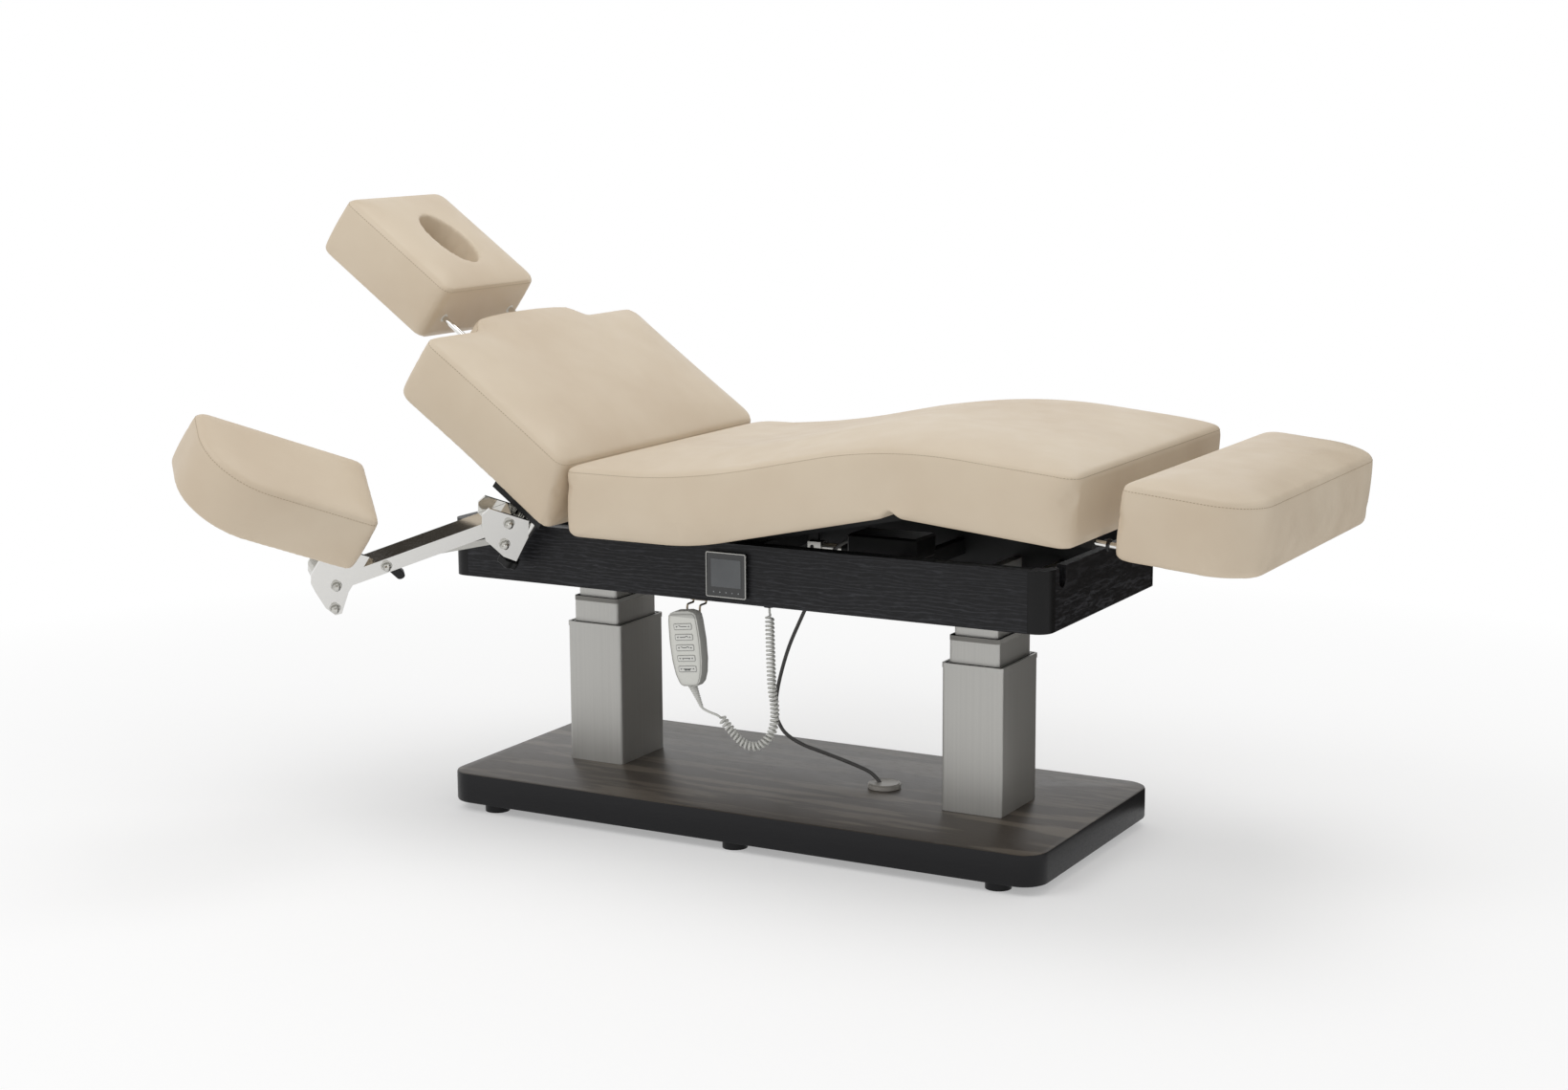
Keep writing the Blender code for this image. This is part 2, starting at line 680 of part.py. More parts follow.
def rounded_route(points, radius, steps):
    """Rounds the corners of a hand-chosen route."""
    points = [Vector(p) for p in points]
    made = [points[0]]
    for before, here, after in zip(points, points[1:], points[2:]):
        one, two = (before - here), (after - here)
        reach = min(radius, one.length / 2, two.length / 2)
        start, end = here + one.normalized() * reach, here + two.normalized() * reach
        for k in range(steps + 1):
            t = k / steps
            made.append(start.lerp(here, t).lerp(here.lerp(end, t), t))
    return made + [points[-1]]


def swept(points, radius, sides=8):
    """A round solid swept along a route, as a bmesh."""
    shape = bmesh.new()
    points = [Vector(p) for p in points]
    side = (points[1] - points[0]).orthogonal().normalized()
    rings = []
    for i, centre in enumerate(points):
        ahead = (points[min(i + 1, len(points) - 1)] - points[max(i - 1, 0)]).normalized()
        side = (side - ahead * side.dot(ahead)).normalized()
        other = ahead.cross(side)
        turns = [2 * math.pi * k / sides for k in range(sides)]
        rings.append([shape.verts.new(centre + (side * math.cos(t) + other * math.sin(t)) * radius) for t in turns])
    for here, there in zip(rings, rings[1:]):
        for k in range(sides):
            n = (k + 1) % sides
            shape.faces.new((here[k], here[n], there[n], there[k]))
    shape.faces.new(rings[0])
    shape.faces.new(rings[-1])
    return shape


def tube(name, routes, diameter, parent, material, resolution=2):
    """Solid round strands along point routes."""
    line = bpy.data.curves.new(name, "CURVE")
    line.dimensions = "3D"
    line.bevel_depth = diameter / 2
    line.bevel_resolution = resolution
    line.render_resolution_u = 0
    line.use_fill_caps = True
    for route in routes:
        spline = line.splines.new("POLY")
        spline.points.add(len(route) - 1)
        for point, place in zip(spline.points, route):
            point.co = (*place, 1.0)
    made = bpy.data.objects.new(name, line)
    bpy.context.scene.collection.objects.link(made)
    made.parent = parent
    line.materials.append(material)
    return made


def link_outline(start, end, start_radius, end_radius, steps=CORNER_STEPS):
    """The outline round two discs, for a crank or an eye."""
    along = math.atan2(end[1] - start[1], end[0] - start[0])
    half = math.pi / 2
    return arc(start, start_radius, along + half, along + 3 * half, steps) + arc(
        end, end_radius, along - half, along + half, steps
    )


# Base, columns and frame


def build_base(root, finishes):
    """The floor board, its feet, the outer columns and the cable grommet."""
    outline = rounded_rectangle(BASE_LENGTH, BASE_WIDTH, BASE_CORNER_RADIUS, BASE_CORNER_STEPS)
    board = piece("base_board", prism(outline, FOOT_HEIGHT, BASE_TOP), root, finishes["oak"])
    soften(board, BASE_EDGE_BEVEL, 2)
    cut(board, bar_between((GROMMET_X, GROMMET_Y, BASE_TOP - GROMMET_SPIGOT_DEPTH - SEAT_GAP),
                           (GROMMET_X, GROMMET_Y, BASE_TOP + CUT_OVERRUN), GROMMET_SPIGOT_DIAMETER / 2 + SEAT_GAP))
    for sx in (-1, 0, 1):
        for sy in (-1, 1):
            x, y = sx * (BASE_LENGTH / 2 - FOOT_INSET_X), sy * (BASE_WIDTH / 2 - FOOT_INSET_Y)
            join(board, bar_between((x, y, 0), (x, y, FOOT_HEIGHT + CUT_OVERRUN), FOOT_DIAMETER / 2))
    grommet = piece("cable_grommet", bar_between((GROMMET_X, GROMMET_Y, BASE_TOP - GROMMET_SPIGOT_DEPTH),
                                                 (GROMMET_X, GROMMET_Y, BASE_TOP + CUT_OVERRUN),
                                                 GROMMET_SPIGOT_DIAMETER / 2), root, finishes["pale_plastic"])
    top = BASE_TOP + SEAT_GAP + GROMMET_HEIGHT
    join(grommet, bar_between((GROMMET_X, GROMMET_Y, BASE_TOP + SEAT_GAP), (GROMMET_X, GROMMET_Y, top),
                              GROMMET_DIAMETER / 2, ROUND_SIDES + SMALL_SIDES))
    bore_x = GROMMET_X - GROMMET_BORE_OFFSET
    cut(grommet, bar_between((bore_x, GROMMET_Y, top - GROMMET_BORE_DEPTH), (bore_x, GROMMET_Y, top + CUT_OVERRUN),
                             GROMMET_BORE / 2))
    for name, x in COLUMNS:
        column = piece(f"{name}_column_outer", wall_ring(COLUMN_OUTER_X, COLUMN_OUTER_Y, COLUMN_WALL,
                                                         COLUMN_CORNER_RADIUS, OUTER_BOTTOM, OUTER_TOP, x), root,
                       finishes["silver"])
        outer = rounded_rectangle(COLUMN_OUTER_X + 2 * CAP_LIP, COLUMN_OUTER_Y + 2 * CAP_LIP, COLUMN_CORNER_RADIUS,
                                  CORNER_STEPS, (x, 0))
        inner = rounded_rectangle(COLUMN_MIDDLE_X + 2 * COLUMN_GAP, COLUMN_MIDDLE_Y + 2 * COLUMN_GAP,
                                  COLUMN_CORNER_RADIUS, CORNER_STEPS, (x, 0))
        join(column, ring_prism(outer, inner, OUTER_TOP - CAP_LIP, CAP_TOP))


def build_middle(root, finishes):
    """The middle sleeves of both columns."""
    for name, x in COLUMNS:
        shape = wall_ring(COLUMN_MIDDLE_X, COLUMN_MIDDLE_Y, COLUMN_WALL, COLUMN_CORNER_RADIUS,
                          MIDDLE_TOP - COLUMN_MIDDLE_LENGTH, MIDDLE_TOP, x)
        piece(f"{name}_column_middle", shape, root, finishes["silver"])


def crossbar(x, top, reach, height=CROSSBAR_HEIGHT):
    """One steel bar across the frame, centred at x."""
    return block((x - CROSSBAR_THICKNESS / 2, -reach, top - height), (x + CROSSBAR_THICKNESS / 2, reach, top))


def build_columns_top(root, finishes):
    """The inner sleeves, welded to their flanges and crossbars, and the lifting motors that stand on them."""
    top = FLANGE_TOP - COLUMN_FLANGE_THICKNESS
    reach = RAIL_Y - RAIL_THICKNESS / 2 - SEAT_GAP
    for name, x in COLUMNS:
        shape = wall_ring(COLUMN_INNER_X, COLUMN_INNER_Y, COLUMN_WALL, COLUMN_CORNER_RADIUS,
                          top - COLUMN_INNER_LENGTH, top + COLUMN_FLANGE_THICKNESS / 2, x)
        inner = piece(f"{name}_column_inner", shape, root, finishes["silver"])
        flange = rounded_rectangle(COLUMN_FLANGE_X, COLUMN_FLANGE_Y, COLUMN_CORNER_RADIUS, CORNER_STEPS, (x, 0))
        join(inner, prism(flange, top, FLANGE_TOP))
        for side in (-1, 1):
            join(inner, crossbar(x + side * COLUMN_CROSSBAR_SPREAD / 2, FLANGE_TOP + CROSSBAR_HEIGHT, reach,
                                 CROSSBAR_HEIGHT + COLUMN_FLANGE_THICKNESS / 2))
        bottom = FLANGE_TOP + SEAT_GAP
        outline = rounded_rectangle(MOTOR_WIDTH, MOTOR_HEIGHT, MOTOR_CORNER_RADIUS, CORNER_STEPS,
                                    (x, bottom + MOTOR_HEIGHT / 2))
        piece(f"{name}_lift_motor", prism(outline, -MOTOR_LENGTH / 2, MOTOR_LENGTH / 2, "y"), root,
              finishes["black_plastic"])


def build_apron(root, finishes):
    """The wooden boards round the frame; the end boards carry the corner posts."""
    half_x, half_y = FRAME_LENGTH / 2, FRAME_WIDTH / 2
    reach = half_x - POST_SIZE - SEAT_GAP
    for name, sy in (("near", -1), ("far", 1)):
        low, high = sorted((sy * half_y, sy * (half_y - APRON_THICKNESS)))
        piece(f"{name}_apron", block((FRAME_CENTRE_X - reach, low, APRON_BOTTOM),
                                     (FRAME_CENTRE_X + reach, high, APRON_TOP)), root, finishes["apron_oak"])
    across = half_y - POST_SIZE + CUT_OVERRUN
    for name, sx in (("head", -1), ("foot", 1)):
        low, high = sorted((FRAME_CENTRE_X + sx * half_x, FRAME_CENTRE_X + sx * (half_x - APRON_THICKNESS)))
        board = piece(f"{name}_apron", block((low, -across, APRON_BOTTOM), (high, across, APRON_TOP)), root,
                      finishes["apron_oak"])
        for sy in (-1, 1):
            outline = [(FRAME_CENTRE_X + sx * (half_x - POST_SIZE), sy * (half_y - POST_SIZE)),
                       (FRAME_CENTRE_X + sx * half_x, sy * (half_y - POST_SIZE))]
            corner = (FRAME_CENTRE_X + sx * (half_x - POST_RADIUS), sy * (half_y - POST_RADIUS))
            start = 0 if sx > 0 else math.pi
            outline += arc(corner, POST_RADIUS, start, start + sx * sy * math.pi / 2, POST_STEPS)
            outline.append((FRAME_CENTRE_X + sx * (half_x - POST_SIZE), sy * half_y))
            join(board, prism(outline, APRON_BOTTOM, APRON_TOP))
            if sx > 0:
                cut(board, prism(notch_outline(sy * NOTCH_Y), low - CUT_OVERRUN, high + CUT_OVERRUN, "x"))


def notch_outline(y):
    """A round-bottomed notch that opens at the apron's top edge."""
    half = NOTCH_WIDTH / 2
    bottom = arc((y, APRON_TOP - NOTCH_DEPTH + half), half, math.pi, 2 * math.pi, NOTCH_STEPS)
    return [(y - half, APRON_TOP + CUT_OVERRUN)] + bottom + [(y + half, APRON_TOP + CUT_OVERRUN)]


def build_steel(root, finishes):
    """The welded steel frame: rails, crossbars, hinge studs and bumpers."""
    reach = FRAME_LENGTH / 2 - POST_SIZE - SEAT_GAP
    rails = [block((FRAME_CENTRE_X - reach, sy * RAIL_Y - RAIL_THICKNESS / 2, RAIL_BOTTOM),
                   (FRAME_CENTRE_X + reach, sy * RAIL_Y + RAIL_THICKNESS / 2, RAIL_TOP)) for sy in (-1, 1)]
    steel = piece("steel_frame", rails[0], root, finishes["steel_black"])
    across = RAIL_Y - RAIL_THICKNESS / 2 + CUT_OVERRUN
    bumper_top = HINGE_Z - BAR_HEIGHT / 2 - SEAT_GAP
    places = [(BACK_HOUSING_END + SEAT_GAP + CROSSBAR_THICKNESS / 2, BOX_BOTTOM - SEAT_GAP),
              (THIGH_HOUSING_END + SEAT_GAP + CROSSBAR_THICKNESS / 2, BOX_BOTTOM - SEAT_GAP),
              (SEAT_HEAD_X + SUPPORT_INSET, CUSHION_Z - SEAT_GAP),
              (THIGH_HINGE_X - SUPPORT_INSET, CUSHION_Z - SEAT_GAP),
              (BUMPER_X, bumper_top - BUMPER_HEIGHT)]
    for x, top in places:
        join(steel, crossbar(x, top, across))
    join(steel, rails[1])
    for sy in (-1, 1):
        for x in (BACK_HINGE_X, THIGH_HINGE_X):
            inner = sy * (BACK_BAR_Y - BAR_WIDTH / 2 - SEAT_GAP)
            join(steel, bar_between((x, inner, HINGE_Z), (x, sy * RAIL_Y, HINGE_Z), PIN_DIAMETER / 2, SMALL_SIDES))
        y = sy * LEG_BAR_Y
        join(steel, bar_between((BUMPER_X, y, bumper_top - BUMPER_HEIGHT - CUT_OVERRUN), (BUMPER_X, y, bumper_top),
                                BUMPER_DIAMETER / 2, SMALL_SIDES, BUMPER_TIP_DIAMETER / 2))


def build_fittings(root, finishes):
    """Touch panel, control box, handset hooks and cord gland, all fixed to the frame."""
    back = -FRAME_WIDTH / 2 - SEAT_GAP
    panel_z = APRON_TOP - PANEL_DROP
    outline = rounded_rectangle(PANEL_SIZE, PANEL_SIZE, PANEL_CORNER_RADIUS, CORNER_STEPS, (PANEL_X, panel_z))
    panel = piece("touch_panel", prism(outline, back - PANEL_DEPTH, back, "y"), root, finishes["silver"])
    face = PANEL_SIZE - 2 * PANEL_RIM
    outline = rounded_rectangle(face, face, PANEL_CORNER_RADIUS / 2, CORNER_STEPS, (PANEL_X, panel_z))
    cut(panel, prism(outline, back - PANEL_DEPTH - CUT_OVERRUN, back - PANEL_DEPTH + PANEL_RECESS, "y"))
    box = block((CONTROL_BOX_X - CONTROL_BOX_LENGTH / 2, -CONTROL_BOX_WIDTH / 2, BOX_BOTTOM),
                (CONTROL_BOX_X + CONTROL_BOX_LENGTH / 2, CONTROL_BOX_WIDTH / 2, BOX_BOTTOM + CONTROL_BOX_HEIGHT))
    soften(piece("control_box", box, root, finishes["black_plastic"]), CONTROL_BOX_BEVEL)
    pocket_z = HANDSET_Z + HANDSET_LENGTH / 2 - HOOK_POCKET_DROP - HOOK_POCKET_HEIGHT / 2
    handset_back = HANDSET_FRONT_Y + HANDSET_DEPTH
    plate_y, plate_top = -FRAME_WIDTH / 2 + APRON_THICKNESS / 2, APRON_BOTTOM - SEAT_GAP
    half = HOOK_SPREAD / 2 + HOOK_WIRE
    plate = block((HANDSET_X - half, plate_y - HOOK_WIRE, plate_top - HOOK_WIRE / 2),
                  (HANDSET_X + half, plate_y + HOOK_WIRE, plate_top))
    hooks = piece("handset_hooks", plate, root, finishes["bronze"])
    for side in (-1, 1):
        x, y = HANDSET_X + side * HOOK_SPREAD / 2, handset_back + HOOK_STAND_OFF
        corners = [(x, plate_y, plate_top - HOOK_WIRE / 4), (x, plate_y, APRON_BOTTOM - HOOK_DIP),
                   (x, y, APRON_BOTTOM - HOOK_DIP), (x, y, pocket_z), (x, handset_back - HOOK_REACH, pocket_z)]
        join(hooks, swept(rounded_route(corners, HOOK_BEND, BEND_STEPS), HOOK_WIRE / 2))
    top = RAIL_BOTTOM - SEAT_GAP
    gland = piece("cord_gland", bar_between((GLAND_X, GLAND_Y, top - GLAND_HEIGHT), (GLAND_X, GLAND_Y, top),
                                            GLAND_DIAMETER / 2, SMALL_SIDES, GLAND_DIAMETER / 2), root,
                  finishes["black_plastic"])
    cut(gland, bar_between((GLAND_X, GLAND_Y, top - GLAND_HEIGHT - CUT_OVERRUN),
                           (GLAND_X, GLAND_Y, top - GLAND_HEIGHT + GLAND_BORE_DEPTH),
                           STRAND_DIAMETER / 2 + SLIDE_GAP, SMALL_SIDES))


def build_actuator(name, hinge_x, angle, lean, head_side, y, root, rod_root, finishes):
    """A push rod: a fixed tube and motor housing, and a sliding rod with a fork round the crank."""
    sign = -1 if head_side else 1
    pin_x = hinge_x - sign * CRANK_RADIUS * math.sin(lean - angle)
    z = HINGE_Z - CRANK_RADIUS * (1 + math.cos(lean)) / 2
    fork_start, fork_end = pin_x - FORK_TIP, pin_x - FORK_TIP + FORK_LENGTH
    tube_start = fork_end + ACTUATOR_FREE_LENGTH
    tube_end = tube_start + ACTUATOR_TUBE_LENGTH
    housing_end = tube_end + ACTUATOR_HOUSING_LENGTH
    inward = -1 if y > 0 else 1
    body = piece(f"{name}_actuator", bar_between((tube_start, y, z), (tube_end + CUT_OVERRUN, y, z),
                                                 ACTUATOR_TUBE_DIAMETER / 2), root, finishes["black_plastic"])
    half = ACTUATOR_HOUSING_SIZE / 2
    low, high = sorted((y - inward * half, y + inward * (half + ACTUATOR_MOTOR_OFFSET)))
    join(body, block((tube_end, low, z - half), (housing_end, high, z + half)))
    motor_y = y + inward * ACTUATOR_MOTOR_OFFSET
    join(body, bar_between((tube_end - ACTUATOR_MOTOR_LENGTH, motor_y, z), (tube_end + CUT_OVERRUN, motor_y, z),
                           ACTUATOR_MOTOR_DIAMETER / 2))
    cut(body, bar_between((tube_start - CUT_OVERRUN, y, z), (tube_start + ACTUATOR_BORE_DEPTH, y, z),
                          ACTUATOR_BORE / 2, SMALL_SIDES))
    half = FORK_WIDTH / 2
    rod = piece(f"{name}_actuator_rod", block((fork_start, y - half, z - FORK_HEIGHT / 2),
                                              (fork_end, y + half, z + FORK_HEIGHT / 2)), rod_root, finishes["zinc"])
    join(rod, bar_between((fork_end - CUT_OVERRUN, y, z), (fork_end + ACTUATOR_ROD_LENGTH, y, z),
                          ACTUATOR_ROD_DIAMETER / 2, SMALL_SIDES))
    slot = CRANK_THICKNESS / 2 + SLIDE_GAP
    cut(rod, block((fork_start - CUT_OVERRUN, y - slot, z - FORK_HEIGHT), (fork_start + FORK_SLOT_DEPTH, y + slot,
                                                                           z + FORK_HEIGHT)))
    play = CRANK_RADIUS * (1 - math.cos(lean)) / 2
    radius = CRANK_PIN_DIAMETER / 2 + SLIDE_GAP
    outline = link_outline((pin_x, z + play), (pin_x, z - play), radius, radius)
    cut(rod, prism(outline, y - half - CUT_OVERRUN, y + half + CUT_OVERRUN, "y"))


# Padded sections


def box_outline(x0, x1, half_width, grow=0.0):
    """A plain rectangle on the table's centre line."""
    half_width += grow
    return [(x0 - grow, -half_width), (x1 + grow, -half_width), (x1 + grow, half_width), (x0 - grow, half_width)]


def padded(name, board_name, outline, board, parent, finishes, head_mitre=0.0, foot_mitre=0.0, side=CUSHION_SIDE,
           crown=CUSHION_CROWN, low=None, material="fabric"):
    """A cushion with a pocket, and the board that fills it."""
    low = HINGE_DROP if low is None else low
    shape = cushion_shape(outline, low, side, crown, head_mitre, foot_mitre)
    cushion = piece(name, shape, parent, finishes[material])
    grown = box_outline(*board, grow=SEAT_GAP)
    cut(cushion, prism(grown, low - CUT_OVERRUN, low + BOARD_THICKNESS + SEAT_GAP))
    made = piece(board_name, prism(box_outline(*board), low, low + BOARD_THICKNESS), parent, finishes["plywood"])
    return cushion, made


def side_bars(shape, x0, x1, y):
    """Two bars that carry a section, one on each side."""
    for sy in (-1, 1):
        block((x0, sy * y - BAR_WIDTH / 2, -BAR_HEIGHT / 2), (x1, sy * y + BAR_WIDTH / 2, BAR_HEIGHT / 2), shape)
    return shape


def pin_bores(target, x, y, radius):
    """Bores for the pins through both bars of a section."""
    for sy in (-1, 1):
        low, high = sy * (y - BAR_WIDTH), sy * (y + BAR_WIDTH)
        cut(target, bar_between((x, low, 0), (x, high, 0), radius, SMALL_SIDES))


def add_crank(target, y, lean, reach):
    """A cross tube on the hinge line and the crank plate that its push rod moves."""
    join(target, bar_between((0, -reach, 0), (0, reach, 0), BAR_HEIGHT / 2, HUB_SIDES))
    end = (CRANK_RADIUS * math.sin(lean), -CRANK_RADIUS * math.cos(lean))
    outline = link_outline((0, 0), end, BAR_HEIGHT / 2 - SEAT_GAP, CRANK_EYE_RADIUS)
    join(target, prism(outline, y - CRANK_THICKNESS / 2, y + CRANK_THICKNESS / 2, "y"))
    reach = FORK_WIDTH / 2
    join(target, bar_between((end[0], y - reach, end[1]), (end[0], y + reach, end[1]), CRANK_PIN_DIAMETER / 2,
                             SMALL_SIDES))


def section_outline(x0, x1):
    """The plan of a full-width mattress section."""
    radius = CUSHION_CORNER_RADIUS
    return cushion_outline(x0, x1, MATTRESS_WIDTH / 2, (radius,) * 4, (CUSHION_STEPS,) * 4, SIDE_DRAW_IN)


def build_seat(root, finishes):
    """The fixed middle section."""
    frame = pivot("seat_place", root, (0, 0, HINGE_Z))
    half = MATTRESS_WIDTH / 2 - BOARD_INSET
    board = (SEAT_HEAD_X + BOARD_END_SETBACK, THIGH_HINGE_X - BOARD_END_SETBACK, half)
    padded("seat_cushion", "seat_board", section_outline(SEAT_HEAD_X, THIGH_HINGE_X - THIGH_FOLD_GAP), board, frame,
           finishes,
           foot_mitre=-THIGH_MAX / 2)


def back_outline():
    """The plan of the backrest: a tongue at its head end reaches towards the headrest."""
    foot, head, half = -BACK_HINGE_SETBACK, -BACK_SIDE_LENGTH, MATTRESS_WIDTH / 2
    radius = CUSHION_CORNER_RADIUS
    points = arc((foot - radius, half - radius), radius, 0, math.pi / 2, CUSHION_STEPS)
    near, far = points[-1][0], head + radius
    for k in (1, 2, 3):
        share = k / 4
        points.append((near + (far - near) * share, half - SIDE_DRAW_IN * (1 - (2 * share - 1) ** 2)))
    points += arc((head + radius, half - radius), radius, math.pi / 2, math.pi, CUSHION_STEPS)
    for k in range(TONGUE_STEPS + 1):
        share = k / TONGUE_STEPS
        blend = (1 - math.cos(math.pi * share)) / 2
        points.append((head - BACK_TONGUE * blend, BACK_TONGUE_HALF_WIDTH + BACK_TONGUE_SLOPE * (1 - share)))
    points.append((head - BACK_TONGUE * TONGUE_BELLY_SHARE, BACK_TONGUE_HALF_WIDTH / 2))
    mirrored = [(x, -y) for x, y in reversed(points)]
    return points + mirrored


def build_back(back, finishes):
    """Backrest: bars with their crank, board, cushion, rod sleeves and the arm rest's mount."""
    bars = piece("back_bars", side_bars(bmesh.new(), -BACK_BAR_LENGTH, 0, BACK_BAR_Y), back,
                 finishes["steel_black"])
    add_crank(bars, BACK_CRANK_Y, CRANK_LEAN, BACK_BAR_Y + BAR_WIDTH / 2)
    pin_bores(bars, 0, BACK_BAR_Y, PIN_DIAMETER / 2 + PIN_CLEARANCE)
    half = MATTRESS_WIDTH / 2 - BOARD_INSET
    board_end = -BACK_SIDE_LENGTH + BOARD_END_SETBACK
    board = (board_end, -BACK_BOARD_HINGE_SETBACK, half)
    cushion, base = padded("back_cushion", "back_board", back_outline(), board, back, finishes,
                           foot_mitre=-BACK_MITRE)
    start = board_end + SLEEVE_FROM_END
    top = BACK_ROD_Z + SLEEVE_SIZE / 2
    for sy in (-1, 1):
        y = sy * ROD_Y
        join(base, block((start, y - SLEEVE_SIZE / 2, HINGE_DROP + BOARD_THICKNESS / 2),
                         (start + SLEEVE_LENGTH, y + SLEEVE_SIZE / 2, top)))
        cut(cushion, block((start - SEAT_GAP, y - SLEEVE_SIZE / 2 - SEAT_GAP, HINGE_DROP),
                           (start + SLEEVE_LENGTH + SEAT_GAP, y + SLEEVE_SIZE / 2 + SEAT_GAP, top + SEAT_GAP)))
        cut(cushion, bar_between((-HEADREST_REACH, y, BACK_ROD_Z), (start + CUT_OVERRUN, y, BACK_ROD_Z),
                                 ROD_DIAMETER / 2 + CUT_OVERRUN / 2, SMALL_SIDES))
        cut(base, bar_between((start - CUT_OVERRUN, y, BACK_ROD_Z),
                              (start + SLEEVE_LENGTH + CUT_OVERRUN, y, BACK_ROD_Z), ROD_DIAMETER / 2 + ROD_GAP,
                              SMALL_SIDES))
    mount_x = -ARM_UP_SLOPE + ARM_MOUNT_AHEAD
    top = HINGE_DROP - SEAT_GAP
    mid_y = ARM_Y + ARM_MOUNT_OFFSET
    plate = block((mount_x - ARM_MOUNT_LENGTH, mid_y - ARM_MOUNT_WIDTH / 2, top - ARM_MOUNT_HEIGHT),
                  (mount_x, mid_y + ARM_MOUNT_WIDTH / 2, top))
    mount = piece("arm_mount", plate, back, finishes["steel_black"])
    pin_low = HINGE_DROP + POST_PIN_BOTTOM
    join(mount, bar_between((-ARM_UP_SLOPE, ARM_Y, pin_low), (-ARM_UP_SLOPE, ARM_Y, top - ARM_MOUNT_HEIGHT / 2),
                            POST_PIN_DIAMETER / 2, SMALL_SIDES))
    cut(mount, bar_between((-ARM_UP_SLOPE, ARM_Y, pin_low - CUT_OVERRUN),
                           (-ARM_UP_SLOPE, ARM_Y, pin_low + KNOB_STUD_LENGTH + SLIDE_GAP),
                           KNOB_STUD_DIAMETER / 2 + SEAT_GAP, SMALL_SIDES))


def face_hole(grow):
    """The oval of the face hole, in the backrest's frame."""
    centre = -HEADREST_REACH - FACE_HOLE_CENTRE
    half_x, half_y = FACE_HOLE_LENGTH / 2 + grow, FACE_HOLE_WIDTH / 2 + grow
    angles = [2 * math.pi * i / HOLE_STEPS for i in range(HOLE_STEPS)]
    return [(centre + half_x * math.cos(a), half_y * math.sin(a)) for a in angles]


def build_headrest(headrest, finishes):
    """The face pillow with its board and its two rods."""
    foot, head = -HEADREST_REACH, -HEADREST_REACH - HEADREST_LENGTH
    low = HINGE_DROP + CUSHION_SIDE - HEADREST_SIDE
    half = HEADREST_WIDTH / 2
    outline = cushion_outline(head, foot, half, (HEADREST_CORNER_RADIUS,) * 4, (CUSHION_STEPS,) * 4, 0.0)
    board = (head + HEADREST_BOARD_INSET, foot - HEADREST_BOARD_INSET, half - HEADREST_BOARD_INSET)
    pillow, base = padded("headrest_pillow", "headrest_board", outline, board, headrest, finishes,
                          side=HEADREST_SIDE, crown=HEADREST_CROWN, low=low)
    cut(pillow, prism(face_hole(0.0), 0, low + 2 * HEADREST_SIDE))
    cut(base, prism(face_hole(CUSHION_EDGE), 0, low + HEADREST_SIDE))
    start = foot - HEADREST_BOARD_INSET
    top = BACK_ROD_Z + SLEEVE_SIZE / 2
    length = ROD_IN_HEADREST - HEADREST_BOARD_INSET + SLEEVE_FROM_END
    for name, sy in SIDES:
        y = sy * ROD_Y
        join(base, block((start - length, y - SLEEVE_SIZE / 2, low + BOARD_THICKNESS / 2),
                         (start - SLEEVE_FROM_END, y + SLEEVE_SIZE / 2, top)))
        cut(base, bar_between((start - length - CUT_OVERRUN, y, BACK_ROD_Z), (start, y, BACK_ROD_Z),
                              ROD_DIAMETER / 2 + SEAT_GAP, SMALL_SIDES))
        cut(pillow, block((start - length - SEAT_GAP, y - SLEEVE_SIZE / 2 - SEAT_GAP, low),
                          (start - SLEEVE_FROM_END + SEAT_GAP, y + SLEEVE_SIZE / 2 + SEAT_GAP, top + SEAT_GAP)))
        cut(pillow, bar_between((start - SLEEVE_FROM_END - CUT_OVERRUN, y, BACK_ROD_Z),
                                (foot + CUT_OVERRUN, y, BACK_ROD_Z), ROD_DIAMETER / 2 + SLIDE_GAP, SMALL_SIDES))
        sleeve_start = -BACK_SIDE_LENGTH + BOARD_END_SETBACK + SLEEVE_FROM_END
        rod = bar_between((foot - ROD_IN_HEADREST, y, BACK_ROD_Z), (sleeve_start + ROD_IN_SLEEVE, y, BACK_ROD_Z),
                          ROD_DIAMETER / 2, SMALL_SIDES)
        piece(f"{name}_headrest_rod", rod, headrest, finishes["chrome"])


def build_thigh(thigh, finishes):
    """The thigh section, its bars with their crank, and the knee pins."""
    bars = piece("thigh_bars", side_bars(bmesh.new(), 0, THIGH_LENGTH, THIGH_BAR_Y), thigh,
                 finishes["steel_black"])
    add_crank(bars, THIGH_CRANK_Y, -THIGH_CRANK_LEAN, THIGH_BAR_Y + BAR_WIDTH / 2)
    pin_bores(bars, 0, THIGH_BAR_Y, PIN_DIAMETER / 2 + PIN_CLEARANCE)
    for sy in (-1, 1):
        inner = sy * (LEG_BAR_Y - BAR_WIDTH / 2 - SLIDE_GAP)
        low, high = sy * (THIGH_BAR_Y - BAR_WIDTH / 2), sy * (THIGH_BAR_Y + BAR_WIDTH / 2)
        join(bars, bar_between((THIGH_LENGTH, low, 0), (THIGH_LENGTH, high, 0), BAR_HEIGHT / 2, HUB_SIDES))
        join(bars, bar_between((THIGH_LENGTH, inner, 0), (THIGH_LENGTH, sy * THIGH_BAR_Y, 0), PIN_DIAMETER / 2,
                               SMALL_SIDES))
    half = MATTRESS_WIDTH / 2 - BOARD_INSET
    padded("thigh_cushion", "thigh_board", section_outline(THIGH_FOLD_GAP, THIGH_LENGTH - FOLD_GAP),
           (BOARD_END_SETBACK, THIGH_LENGTH - BOARD_END_SETBACK, half), thigh, finishes, head_mitre=THIGH_MAX / 2)


